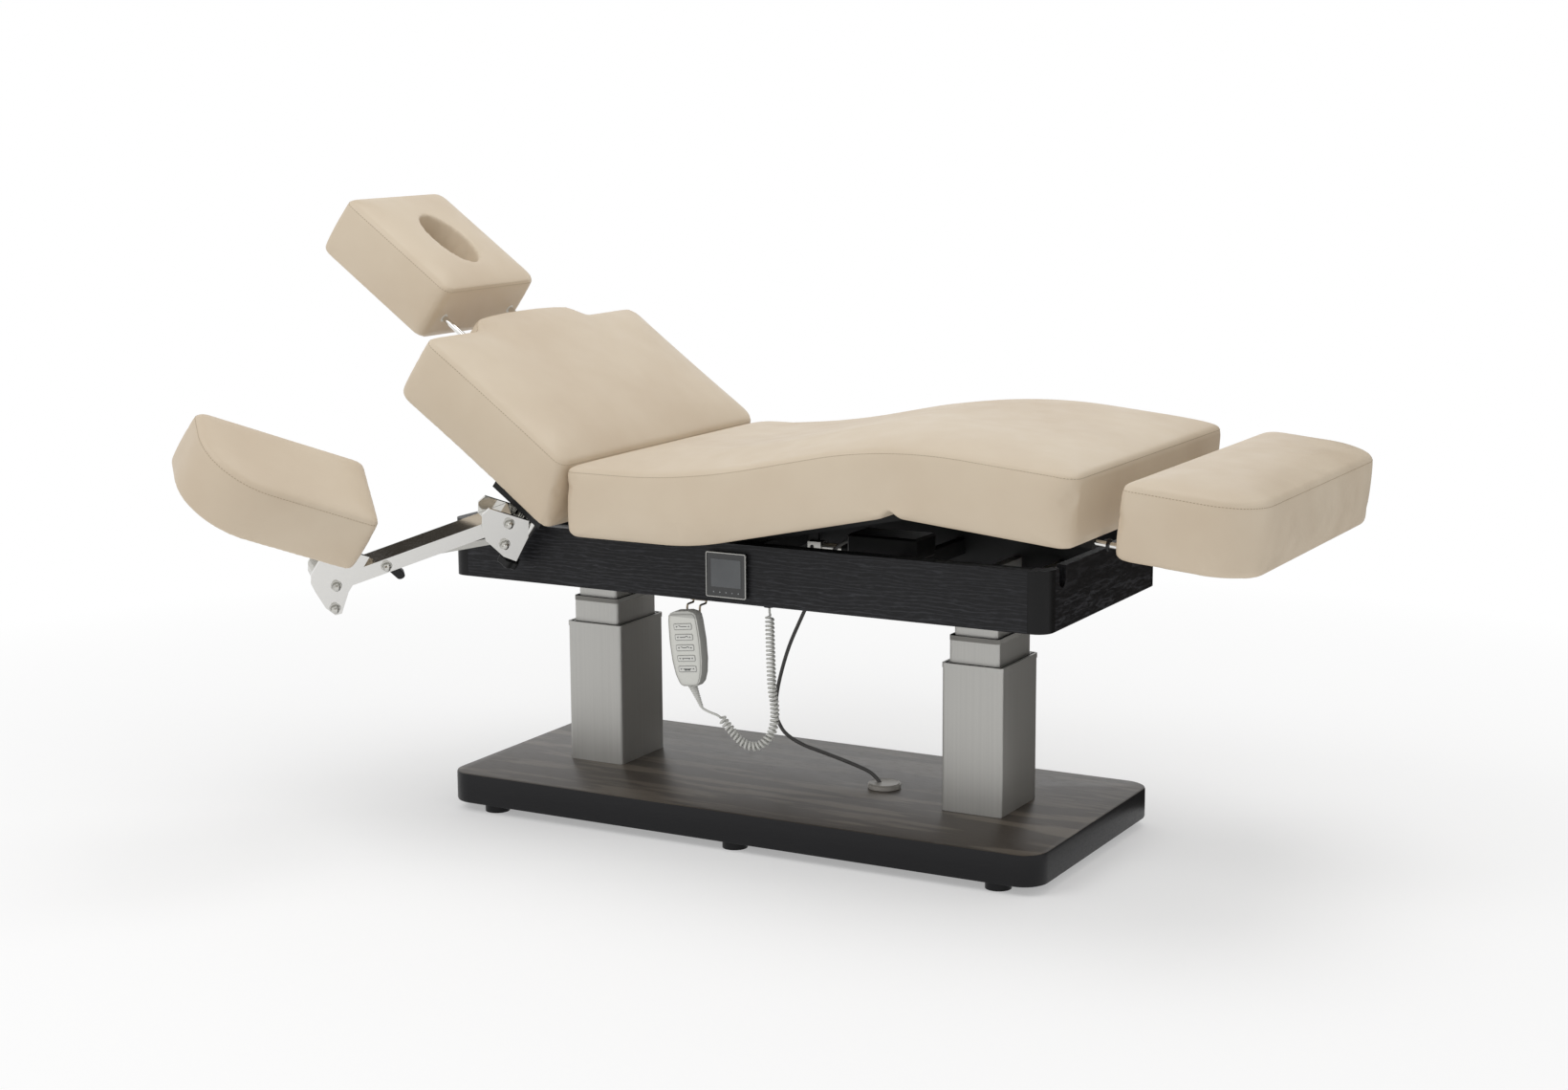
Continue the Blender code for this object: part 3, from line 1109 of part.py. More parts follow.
def build_leg(leg, finishes):
    """The leg section with the sleeves of the foot bolster."""
    bars = piece("leg_bars", side_bars(bmesh.new(), 0, LEG_BAR_LENGTH, LEG_BAR_Y), leg,
                 finishes["steel_black"])
    reach = LEG_BAR_Y + BAR_WIDTH / 2
    join(bars, bar_between((0, -reach, 0), (0, reach, 0), BAR_HEIGHT / 2, HUB_SIDES))
    pin_bores(bars, 0, LEG_BAR_Y, PIN_DIAMETER / 2 + PIN_CLEARANCE)
    half = MATTRESS_WIDTH / 2 - BOARD_INSET
    _, base = padded("leg_cushion", "leg_board", section_outline(FOLD_GAP, LEG_LENGTH),
                     (BOARD_END_SETBACK, LEG_LENGTH - BOARD_END_SETBACK, half), leg, finishes)
    end = LEG_LENGTH - BOARD_END_SETBACK
    for sy in (-1, 1):
        y = sy * BOLSTER_ROD_Y
        join(base, block((end - BOLSTER_SLEEVE_LENGTH, y - SLEEVE_SIZE / 2, LEG_SLEEVE_Z - SLEEVE_SIZE / 2),
                         (end, y + SLEEVE_SIZE / 2, HINGE_DROP + BOARD_THICKNESS / 2)))
        cut(base, bar_between((end - BOLSTER_SLEEVE_LENGTH - CUT_OVERRUN, y, LEG_SLEEVE_Z),
                              (end + CUT_OVERRUN, y, LEG_SLEEVE_Z), ROD_DIAMETER / 2 + ROD_GAP, SMALL_SIDES))


def build_bolster(bolster, finishes):
    """The foot bolster with its board and its two rods."""
    start = LEG_LENGTH + BOLSTER_GAP
    end = start + BOLSTER_LENGTH
    half = BOLSTER_WIDTH / 2
    radii = (BOLSTER_CORNER_RADIUS, BOLSTER_BACK_RADIUS, BOLSTER_BACK_RADIUS, BOLSTER_CORNER_RADIUS)
    steps = (BOLSTER_STEPS, CUSHION_STEPS, CUSHION_STEPS, BOLSTER_STEPS)
    outline = cushion_outline(start, end, half, radii, steps, 0.0)
    board = (start + BOARD_END_SETBACK, end - BOARD_INSET, half - BOLSTER_CORNER_RADIUS)
    _, base = padded("bolster_cushion", "bolster_board", outline, board, bolster, finishes, side=BOLSTER_SIDE,
                     crown=BOLSTER_CROWN)
    block_start = start + BOARD_END_SETBACK
    for name, sy in SIDES:
        y = sy * BOLSTER_ROD_Y
        join(base, block((block_start, y - SLEEVE_SIZE / 2, LEG_SLEEVE_Z - SLEEVE_SIZE / 2),
                         (start + BOLSTER_ROD_IN_BOLSTER, y + SLEEVE_SIZE / 2, HINGE_DROP + BOARD_THICKNESS / 2)))
        cut(base, bar_between((block_start - CUT_OVERRUN, y, LEG_SLEEVE_Z),
                              (start + BOLSTER_ROD_IN_BOLSTER + CUT_OVERRUN, y, LEG_SLEEVE_Z),
                              ROD_DIAMETER / 2 + SEAT_GAP, SMALL_SIDES))
        rod = bar_between((LEG_LENGTH - BOLSTER_ROD_IN_LEG, y, LEG_SLEEVE_Z),
                          (start + BOLSTER_ROD_IN_BOLSTER, y, LEG_SLEEVE_Z), ROD_DIAMETER / 2, SMALL_SIDES)
        piece(f"{name}_bolster_rod", rod, bolster, finishes["chrome"])


# Arm rest and handset


def arm_pin(target, x, z, reach, diameter=ARM_PIN_DIAMETER):
    """A pin across the arm, fused to a piece."""
    return join(target, bar_between((x, -reach, z), (x, reach, z), diameter / 2, SMALL_SIDES))


def arm_bore(target, x, z, diameter=ARM_PIN_DIAMETER):
    """A bore across the arm for a pin."""
    reach = ARM_BAR_WIDTH
    return cut(target, bar_between((x, -reach, z), (x, reach, z), diameter / 2 + PIN_CLEARANCE, SMALL_SIDES))


def cheek_plates(outline):
    """Two plates, one on each side of the arm's bar."""
    inner = ARM_BAR_WIDTH / 2 + SLIDE_GAP
    shape = bmesh.new()
    for sy in (-1, 1):
        prism(outline, sy * inner, sy * (inner + PLATE_THICKNESS), "y", shape)
    return shape


def build_bracket(arm, finishes):
    """The collar that swings on the post, with its two cheek plates."""
    outer = ARM_BAR_WIDTH / 2 + SLIDE_GAP + PLATE_THICKNESS
    bracket = piece("arm_bracket", cheek_plates(BRACKET_OUTLINE), arm, finishes["chrome"])
    web = PLATE_THICKNESS * 2
    join(bracket, block((WEB_END - web, -outer + SEAT_GAP, WEB_BOTTOM), (WEB_END, outer - SEAT_GAP, WEB_TOP)))
    join(bracket, bar_between((0, 0, COLLAR_BOTTOM), (0, 0, COLLAR_TOP), COLLAR_DIAMETER / 2))
    for x, z in ((UPPER_PIVOT_X, UPPER_PIVOT_Z), (LOWER_PIVOT_X, LOWER_PIVOT_Z)):
        arm_pin(bracket, x, z, outer + SLIDE_GAP)
    cut(bracket, bar_between((0, 0, COLLAR_BOTTOM - CUT_OVERRUN), (0, 0, COLLAR_TOP + CUT_OVERRUN),
                             POST_PIN_DIAMETER / 2 + PIN_CLEARANCE, SMALL_SIDES))


def build_knob(back, finishes):
    """The star knob under the post."""
    top = HINGE_DROP + POST_PIN_BOTTOM - SEAT_GAP
    place = pivot("knob_place", back, (-ARM_UP_SLOPE, ARM_Y, 0))
    points = []
    for i in range(KNOB_LOBES * KNOB_LOBE_POINTS):
        turn = 2 * math.pi * i / (KNOB_LOBES * KNOB_LOBE_POINTS)
        radius = KNOB_DIAMETER / 2 - KNOB_LOBE_DEPTH * (1 - math.cos(KNOB_LOBES * turn)) / 2
        points.append((radius * math.cos(turn), radius * math.sin(turn)))
    knob = piece("star_knob", prism(points, top - KNOB_HEIGHT, top), place, finishes["black_plastic"])
    soften(knob, HANDSET_EDGE / 2)
    join(knob, bar_between((0, 0, top - KNOB_HEIGHT / 2), (0, 0, top + KNOB_STUD_LENGTH), KNOB_STUD_DIAMETER / 2,
                           SMALL_SIDES))


def build_arm_bar(bar, finishes):
    """The inverted channel of the arm, and the release lever inside it."""
    half_y, half_z, wall = ARM_BAR_WIDTH / 2, ARM_BAR_HEIGHT / 2, ARM_BAR_WALL
    outline = [(-half_y, -half_z), (-half_y, half_z), (half_y, half_z), (half_y, -half_z), (half_y - wall, -half_z),
               (half_y - wall, half_z - wall), (-half_y + wall, half_z - wall), (-half_y + wall, -half_z)]
    channel = piece("arm_bar", prism(outline, -ARM_LENGTH - ARM_BAR_OVERHANG, ARM_BAR_OVERHANG, "x"), bar,
                    finishes["chrome"])
    for x in (0, -ARM_LENGTH):
        arm_bore(channel, x, 0)
    arm_bore(channel, -LEVER_PIVOT, 0, LEVER_PIN_DIAMETER)


def build_lever(lever, finishes):
    """The tab that frees the lock strip; its frame stands on the lever's own pin."""
    hub = link_outline((0, 0), (LEVER_WIDTH / 2, -LEVER_HUB_RADIUS), LEVER_HUB_RADIUS, LEVER_HUB_RADIUS / 2)
    made = prism(hub, -LEVER_WIDTH / 2, LEVER_WIDTH / 2, "y")
    made = piece("release_lever", made, lever, finishes["black_plastic"])
    start = LEVER_HUB_RADIUS / 2
    tab = [(start, -LEVER_HUB_RADIUS / 2), (start + LEVER_THICKNESS, -LEVER_HUB_RADIUS),
           (start + LEVER_THICKNESS, -LEVER_DROP), (start + LEVER_THICKNESS / 2, -LEVER_DROP)]
    join(made, prism(tab, -LEVER_WIDTH / 2 + SEAT_GAP, LEVER_WIDTH / 2 - SEAT_GAP, "y"))
    arm_pin(made, 0, 0, ARM_BAR_WIDTH / 2 - SEAT_GAP, LEVER_PIN_DIAMETER)


def build_strip(strip, finishes):
    """The lock strip from the bracket's lower pivot into the channel."""
    half = STRIP_WIDTH / 2
    outline = link_outline((0, 0), (-STRIP_LENGTH, 0), STRIP_EYE_RADIUS, STRIP_HEIGHT / 2)
    made = piece("lock_strip", prism(outline, -half, half, "y"), strip, finishes["zinc"])
    arm_bore(made, 0, 0)


def build_carrier(carrier, finishes):
    """The plates that hold the pad at the end of the arm, and the pad."""
    outer = ARM_BAR_WIDTH / 2 + SLIDE_GAP + PLATE_THICKNESS
    made = piece("arm_carrier", cheek_plates(CARRIER_OUTLINE), carrier, finishes["chrome"])
    top = PAD_CLEARANCE_ABOVE_PIVOT - SEAT_GAP
    half = CARRIER_PLATE_WIDTH / 2
    join(made, block((-CARRIER_PLATE_START - CARRIER_PLATE_LENGTH, -half, top - PLATE_THICKNESS),
                     (-CARRIER_PLATE_START, half, top)))
    arm_pin(made, 0, 0, outer + SLIDE_GAP)
    arm_pin(made, SECOND_BOLT_X, SECOND_BOLT_Z, outer + SLIDE_GAP)
    radii = (PAD_CORNER_RADIUS, PAD_CORNER_RADIUS, PAD_ROUND_CORNER, PAD_CORNER_RADIUS)
    steps = (CUSHION_STEPS, CUSHION_STEPS, BOLSTER_STEPS, CUSHION_STEPS)
    outline = cushion_outline(-PAD_START - PAD_LENGTH, -PAD_START, PAD_WIDTH / 2, radii, steps, 0.0)
    piece("arm_pad", cushion_shape(outline, PAD_CLEARANCE_ABOVE_PIVOT, PAD_SIDE, PAD_CROWN), carrier,
          finishes["fabric"])


def handset_outline():
    """The handset's front, widest a little above its middle."""
    top, half = HANDSET_LENGTH / 2, HANDSET_BELLY_WIDTH / 2
    right = [(half * wide, top - HANDSET_LENGTH * down) for down, wide in HANDSET_DOME_SHARES + HANDSET_SIDE_SHARES]
    return right + [(-x, z) for x, z in reversed(right)]


def build_handset(handset, finishes):
    """The hand control with its keys and its cord's strain relief; y = 0 is its front face."""
    body = piece("handset_body", prism(handset_outline(), 0, HANDSET_DEPTH, "y"), handset, finishes["pale_grey"])
    soften(body, HANDSET_EDGE, 2)
    deep = KEY_THICKNESS - KEY_PROUD + KEY_TRAVEL + SEAT_GAP
    for i in range(HANDSET_KEYS):
        z = HANDSET_LENGTH / 2 - KEY_FIRST_DROP - i * KEY_PITCH
        outline = rounded_rectangle(KEY_WIDTH, KEY_HEIGHT, HANDSET_EDGE, KEY_STEPS, (0, z))
        hole = rounded_rectangle(KEY_WIDTH + 2 * SEAT_GAP, KEY_HEIGHT + 2 * SEAT_GAP, HANDSET_EDGE, KEY_STEPS,
                                 (0, z))
        cut(body, prism(hole, -CUT_OVERRUN, deep, "y"))
        piece(f"handset_key_{i + 1}", prism(outline, -KEY_PROUD, KEY_THICKNESS - KEY_PROUD, "y"), handset,
              finishes["key_grey"])
    pocket_top = HANDSET_LENGTH / 2 - HOOK_POCKET_DROP
    half = HOOK_POCKET_WIDTH / 2
    cut(body, block((-half, HANDSET_DEPTH - HOOK_POCKET_DEPTH, pocket_top - HOOK_POCKET_HEIGHT),
                    (half, HANDSET_DEPTH + CUT_OVERRUN, pocket_top)))
    start = Vector((0, HANDSET_DEPTH / 2, -HANDSET_LENGTH / 2 - SEAT_GAP))
    along = Vector((math.sin(STRAIN_TURN), 0, -math.cos(STRAIN_TURN)))
    collar = start - Vector((0, 0, STRAIN_COLLAR))
    relief = bar_between(start, collar, STRAIN_TOP_DIAMETER / 2, SMALL_SIDES)
    relief = piece("handset_strain_relief", relief, handset, finishes["cord_grey"])
    tip = collar + along * (STRAIN_LENGTH - STRAIN_COLLAR)
    join(relief, bar_between(collar - along * SLIDE_GAP - Vector((0, 0, -STRAIN_COLLAR / 2)), tip,
                             STRAIN_TOP_DIAMETER / 2 - SLIDE_GAP, SMALL_SIDES, STRAIN_TIP_DIAMETER / 2))
    cut(relief, bar_between(tip - along * STRAIN_BORE_DEPTH, tip + along * CUT_OVERRUN,
                            STRAND_DIAMETER / 2 + SEAT_GAP, SMALL_SIDES))
    return tip, along


def build_cords(root, handset, tip, along, finishes):
    """The curly cord from the frame to the handset and the cable from the frame to the base."""
    place = handset.matrix_basis
    end = place @ (tip - along * (STRAIN_BORE_DEPTH - SEAT_GAP))
    ahead = (place.to_3x3() @ along).normalized()
    gland = Vector((GLAND_X, GLAND_Y, RAIL_BOTTOM - SEAT_GAP - GLAND_HEIGHT))
    first = gland + Vector((0, 0, GLAND_BORE_DEPTH - SEAT_GAP))
    curls, length = wound_route(CURLY_ROUTE, CURL_COUNT, CURL_POINTS, (CURL_OUTER_DIAMETER - STRAND_DIAMETER) / 2)
    lead_in = [first, gland - Vector((0, 0, STRAND_DIAMETER))]
    tail = end + ahead * (STRAIN_BORE_DEPTH + STRAND_DIAMETER)
    lead_out = [tail.lerp(curls[-1], 0.5) + ahead * STRAND_DIAMETER / 2, tail, end]
    route = lead_in + curls + lead_out
    gap = least_gap(route, STRAND_DIAMETER, CURL_POINTS - 2)
    print(f"curly cord: axis {length:.4f} m, least gap between turns {gap * 1000:.2f} mm")
    tube("curly_cord", [route], STRAND_DIAMETER, root, finishes["cord_grey"], 1)
    cable, length = smooth_route(CABLE_ROUTE, CABLE_POINTS)
    print(f"lift cable: {length:.4f} m, least gap {least_gap(cable, CABLE_DIAMETER, 4) * 1000:.2f} mm")
    tube("lift_cable", [cable], CABLE_DIAMETER, root, finishes["cable"], 2)


def make_finishes():
    """Every finish of the table by its name."""
    return {
        "fabric": finish("upholstery", "#CFC0AA", 0.75),
        "plywood": finish("plywood", "#B08D62", 0.7),
        "oak": finish("grey_brown_oak", "#6B645B", 0.6),
        "apron_oak": finish("charcoal_oak", "#2B2B2F", 0.55),
        "silver": finish("silver_anodised", "#B4B3B0", 0.35, 0.9),
        "chrome": finish("bright_chrome", "#D8D8D8", 0.12, 1.0),
        "zinc": finish("zinc_plate", "#9A9C9E", 0.35, 1.0),
        "bronze": finish("bronze_wire", "#6E5540", 0.4, 0.9),
        "steel_black": finish("black_powder_coat", "#1B1B1D", 0.5),
        "black_plastic": finish("black_plastic", "#202022", 0.45),
        "pale_plastic": finish("pale_plastic", "#D5D2CE", 0.45),
        "pale_grey": finish("pale_grey_plastic", "#CFCFC9", 0.45),
        "key_grey": finish("key_grey_plastic", "#BDBDB8", 0.5),
        "cord_grey": finish("pale_cord_plastic", "#C9C9C5", 0.45),
        "cable": finish("dark_cable", "#3A3A40", 0.6),
    }


def centre_on_floor(root):
    """Moves the whole table so that its box, without the cords, is centred over the origin."""
    bpy.context.view_layer.update()
    graph = bpy.context.evaluated_depsgraph_get()
    low, high = Vector((1e9,) * 3), Vector((-1e9,) * 3)
    for item in bpy.context.scene.objects:
        if item.type != "MESH" or item.hide_render:
            continue
        mesh = item.evaluated_get(graph).to_mesh()
        for vertex in mesh.vertices:
            place = item.matrix_world @ vertex.co
            low = Vector(map(min, low, place))
            high = Vector(map(max, high, place))
        item.evaluated_get(graph).to_mesh_clear()
    root.location = (-(low.x + high.x) / 2, -(low.y + high.y) / 2, -low.z)
    bpy.context.view_layer.update()
    print("shift", [round(v, 5) for v in root.location], "size", [round(v, 4) for v in high - low])


def main():
    for item in list(bpy.data.objects):
        bpy.data.objects.remove(item, do_unlink=True)
    finishes = make_finishes()
    root = pivot("table")
    base = pivot("base", root)
    middle = pivot("lift_middle", root)
    frame = pivot("frame", root)
    build_base(base, finishes)
    build_middle(middle, finishes)
    build_columns_top(frame, finishes)
    build_apron(frame, finishes)
    build_steel(frame, finishes)
    build_fittings(frame, finishes)
    build_seat(frame, finishes)
    build_actuator("back", BACK_HINGE_X, BACK_ANGLE, CRANK_LEAN, True, BACK_CRANK_Y, frame,
                   pivot("back_rod", frame), finishes)
    build_actuator("thigh", THIGH_HINGE_X, THIGH_ANGLE, THIGH_CRANK_LEAN, False, THIGH_CRANK_Y, frame,
                   pivot("thigh_rod", frame), finishes)
    back = pivot("backrest", frame, (BACK_HINGE_X, 0, HINGE_Z), (0, BACK_ANGLE, 0))
    build_back(back, finishes)
    build_headrest(pivot("headrest", back), finishes)
    thigh = pivot("thigh", frame, (THIGH_HINGE_X, 0, HINGE_Z), (0, -THIGH_ANGLE, 0))
    build_thigh(thigh, finishes)
    leg = pivot("leg", thigh, (THIGH_LENGTH, 0, 0), (0, KNEE_ANGLE, 0))
    build_leg(leg, finishes)
    build_bolster(pivot("bolster", leg), finishes)
    arm = pivot("arm", back, (-ARM_UP_SLOPE, ARM_Y, HINGE_DROP), (0, 0, ARM_SWING))
    build_bracket(arm, finishes)
    build_knob(back, finishes)
    bar = pivot("arm_lift", arm, (UPPER_PIVOT_X, 0, UPPER_PIVOT_Z), (0, -ARM_ANGLE, 0))
    build_arm_bar(bar, finishes)
    build_lever(pivot("lever", bar, (-LEVER_PIVOT, 0, 0)), finishes)
    build_strip(pivot("strip", arm, (LOWER_PIVOT_X, 0, LOWER_PIVOT_Z), (0, STRIP_ANGLE - ARM_ANGLE, 0)), finishes)
    build_carrier(pivot("carrier", bar, (-ARM_LENGTH, 0, 0), (0, ARM_ANGLE, 0)), finishes)
    handset = pivot("handset", frame, (HANDSET_X, HANDSET_FRONT_Y, HANDSET_Z), (0, -HANDSET_LEAN, 0))
    tip, along = build_handset(handset, finishes)
    build_cords(frame, handset, tip, along, finishes)
    centre_on_floor(root)


if __name__ == "__main__":
    main()
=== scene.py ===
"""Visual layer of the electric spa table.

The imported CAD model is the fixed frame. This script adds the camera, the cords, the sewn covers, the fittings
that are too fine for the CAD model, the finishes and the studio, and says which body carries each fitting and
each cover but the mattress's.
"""

import json
import logging
import math
from dataclasses import dataclass
from enum import Enum
from typing import Callable, Iterable, Sequence

import bmesh
import bpy
import numpy as np
from mathutils import Matrix, Vector
from mathutils.bvhtree import BVHTree
from mathutils.kdtree import KDTree

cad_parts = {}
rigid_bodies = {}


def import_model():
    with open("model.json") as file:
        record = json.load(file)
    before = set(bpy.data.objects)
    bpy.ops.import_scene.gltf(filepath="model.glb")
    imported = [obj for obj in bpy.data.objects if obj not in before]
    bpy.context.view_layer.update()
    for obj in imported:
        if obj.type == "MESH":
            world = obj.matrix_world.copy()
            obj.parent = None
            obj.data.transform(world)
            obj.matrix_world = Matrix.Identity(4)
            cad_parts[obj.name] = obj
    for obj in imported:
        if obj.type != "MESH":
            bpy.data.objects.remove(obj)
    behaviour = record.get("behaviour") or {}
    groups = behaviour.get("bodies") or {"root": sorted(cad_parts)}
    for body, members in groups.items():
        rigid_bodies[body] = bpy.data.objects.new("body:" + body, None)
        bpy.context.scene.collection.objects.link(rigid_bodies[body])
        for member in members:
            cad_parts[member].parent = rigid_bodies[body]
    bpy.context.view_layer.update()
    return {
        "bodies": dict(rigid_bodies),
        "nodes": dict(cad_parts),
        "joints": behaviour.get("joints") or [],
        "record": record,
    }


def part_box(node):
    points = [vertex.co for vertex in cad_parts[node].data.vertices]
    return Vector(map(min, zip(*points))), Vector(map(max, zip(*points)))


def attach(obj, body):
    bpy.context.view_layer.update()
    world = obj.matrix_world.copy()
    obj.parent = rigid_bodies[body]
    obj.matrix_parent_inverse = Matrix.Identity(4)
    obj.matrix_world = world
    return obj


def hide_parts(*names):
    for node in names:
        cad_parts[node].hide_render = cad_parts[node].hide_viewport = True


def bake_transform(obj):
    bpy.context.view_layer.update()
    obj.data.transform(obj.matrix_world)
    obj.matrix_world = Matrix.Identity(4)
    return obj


LOG = logging.getLogger("spa_table")
Point = Sequence[float]
Socket = bpy.types.NodeSocket
MM = 0.001

# Camera, read from the photograph
PHOTO_WIDTH = 1640
FOCAL_PIXELS = 2749.47
SENSOR_WIDTH = 36.0
CAMERA_YAW = math.radians(28.828)
CAMERA_PITCH = math.radians(10.183)
CAMERA_ROLL = math.radians(-0.330)
CAMERA_PLACE = (2.4637, -4.5206, 1.4813)

# Sizes shared with the CAD source, in metres
COLUMN_MIDDLE = (0.105, 0.152)
COLUMN_OUTER = (0.127, 0.168)
COLUMN_RADIUS = 0.008
POST_Y = 0.237
LEVER_X = -0.250
HANDSET_DOME_Z = 0.4625
HEADREST_ROD_Y = 0.118
BOLSTER_ROD_Y = 0.205
MATTRESS_WIDTH = 0.758
SIDE = 0.134
HINGE_DROP = 0.0093
SEAT_HEAD = -0.280
THIGH_LENGTH = 0.425
LEG_LENGTH = 0.350
ROD_HEIGHT = 0.0713
BACK_FOOT_LEAN = math.radians(19.1)
PILLOW_SIDE = 0.127
BOLSTER_SIDE = 0.130
PAD_LOW = 0.088
PAD_SIDE = 0.120
CROWN = 0.022
END_CROWN = 0.017
PAD_CROWN = 0.012
BACK_HEAD_LIMIT = -0.4932
PILLOW_FOOT_LIMIT = -0.5702
BOLSTER_HEAD_LIMIT = 0.4262

# Cover making
VOXEL = 0.007
FINE_VOXEL = 0.005
BOARD_SHOWS = 0.0015
BULGE = 0.008
FREE = 9.0
STAPLED_HEIGHT = 0.004
SEAM_HOLD = 0.75
SEAM_REACH = 0.007
SEAM_BAND = 0.020
GROOVE_DEPTH = 0.0011
GROOVE_REACH = 0.0042
STITCH_PITCH = 0.0062
STITCH_LENGTH = 0.0042
STITCH_RADIUS = 0.00055
STITCH_DROP = 0.0045
CLOTH_FRAMES = 16
CLOTH = {
    "quality": 4, "mass": 0.25, "tension_stiffness": 18, "compression_stiffness": 18, "shear_stiffness": 6,
    "bending_stiffness": 1.2, "use_pressure": True, "uniform_pressure_force": 4.0, "pin_stiffness": 1.0,
}

# Light of the surroundings on matt surfaces, and the sharpest edge that is shaded smooth, in degrees
WORLD_LIGHT = 0.60
SOFT_ANGLE = 32.0

# The routes of the cords, in metres, as in the CAD source
CURLY_ROUTE = (
    (0.0785, -0.2455, 0.4700), (0.0800, -0.2455, 0.4000), (0.0835, -0.2470, 0.3300),
    (0.0905, -0.2500, 0.2930), (0.0925, -0.2540, 0.2650), (0.0890, -0.2600, 0.2405),
    (0.0785, -0.2690, 0.2230), (0.0625, -0.2780, 0.2150), (0.0450, -0.2860, 0.2200),
    (0.0290, -0.2920, 0.2355), (0.0130, -0.2970, 0.2550), (0.0000, -0.3020, 0.2730),
)
GLAND_ENTRY = (0.0785, -0.2455, 0.4895)
CABLE_ROUTE = (
    (0.1397, 0.0000, 0.5750), (0.1100, 0.0010, 0.5700), (0.0750, 0.0040, 0.5400), (0.0450, 0.0080, 0.4900),
    (0.0180, 0.0130, 0.4300), (-0.0230, 0.0150, 0.3430), (-0.0480, 0.0150, 0.2600), (-0.0530, 0.0150, 0.2050),
    (-0.0420, 0.0150, 0.1760), (-0.0240, 0.0150, 0.1590), (0.0090, 0.0150, 0.1450), (0.0520, 0.0150, 0.1350),
    (0.0960, 0.0150, 0.1250), (0.1390, 0.0150, 0.1140), (0.1620, 0.0145, 0.1060), (0.1770, 0.0140, 0.0950),
    (0.1845, 0.0140, 0.0860), (0.1852, 0.0140, 0.0762),
)
CURL_COUNT = 46
CURL_POINTS = 14
CURL_RADIUS = 0.00695
LEAD_STEP = 0.0015
STRAND_DIAMETER = 0.0046
CABLE_DIAMETER = 0.0075
CABLE_POINTS = 90
BRAID_TURNS = 7.0
BRAID_PITCH = 0.0034
GLAND_HELD = 3
RELIEF_HELD = 6


class Hue(str, Enum):
    """Finishes read from the photograph, as sRGB hex colours."""

    LEATHER = "#D2C3AD"
    LEATHER_DEEP = "#CAB9A2"
    THREAD = "#A89880"
    BOARD = "#181715"
    APRON = "#161618"
    APRON_GRAIN = "#515257"
    POST = "#0F0F10"
    BASE_TOP = "#453F39"
    BASE_GRAIN = "#6C645A"
    BASE_EDGE = "#1A1A1C"
    SILVER = "#BDBCB8"
    CHROME = "#E2E1DE"
    ZINC = "#C6C5C0"
    STEEL = "#1A1B1C"
    BLACK = "#121213"
    RUBBER = "#101011"
    GLASS = "#08090B"
    SCREEN = "#4E5153"
    MARK = "#9DA1A3"
    HANDSET = "#D2D2CC"
    HANDSET_EDGE = "#9A9A96"
    KEY = "#D9D9D4"
    PICTOGRAM = "#3A3C3E"
    CORD = "#CBCBC6"
    CABLE = "#4C4B4A"
    CABLE_LIGHT = "#7D7B77"
    BRONZE = "#8B7F6C"
    WHITE_PLASTIC = "#E6E4DF"
    COLLAR = "#8B8984"
    GROMMET = "#B9B5AE"
    FLOOR = "#FFFFFF"
    FLAG = "#3E3A35"


def linear(hex_colour: str) -> tuple[float, float, float, float]:
    """Turns a hex sRGB colour into linear values.

    Args:
        hex_colour: a colour such as "#D2C2AB".

    Returns:
        Red, green, blue and alpha, linear.
    """
    shares = [int(hex_colour[i : i + 2], 16) / 255 for i in (1, 3, 5)]
    return (*(s / 12.92 if s <= 0.04045 else ((s + 0.055) / 1.055) ** 2.4 for s in shares), 1.0)


def darker(hue: Hue, share: float) -> tuple[float, float, float, float]:
    """A hue's linear colour, times a share."""
    return (*(part * share for part in linear(hue.value)[:3]), 1.0)


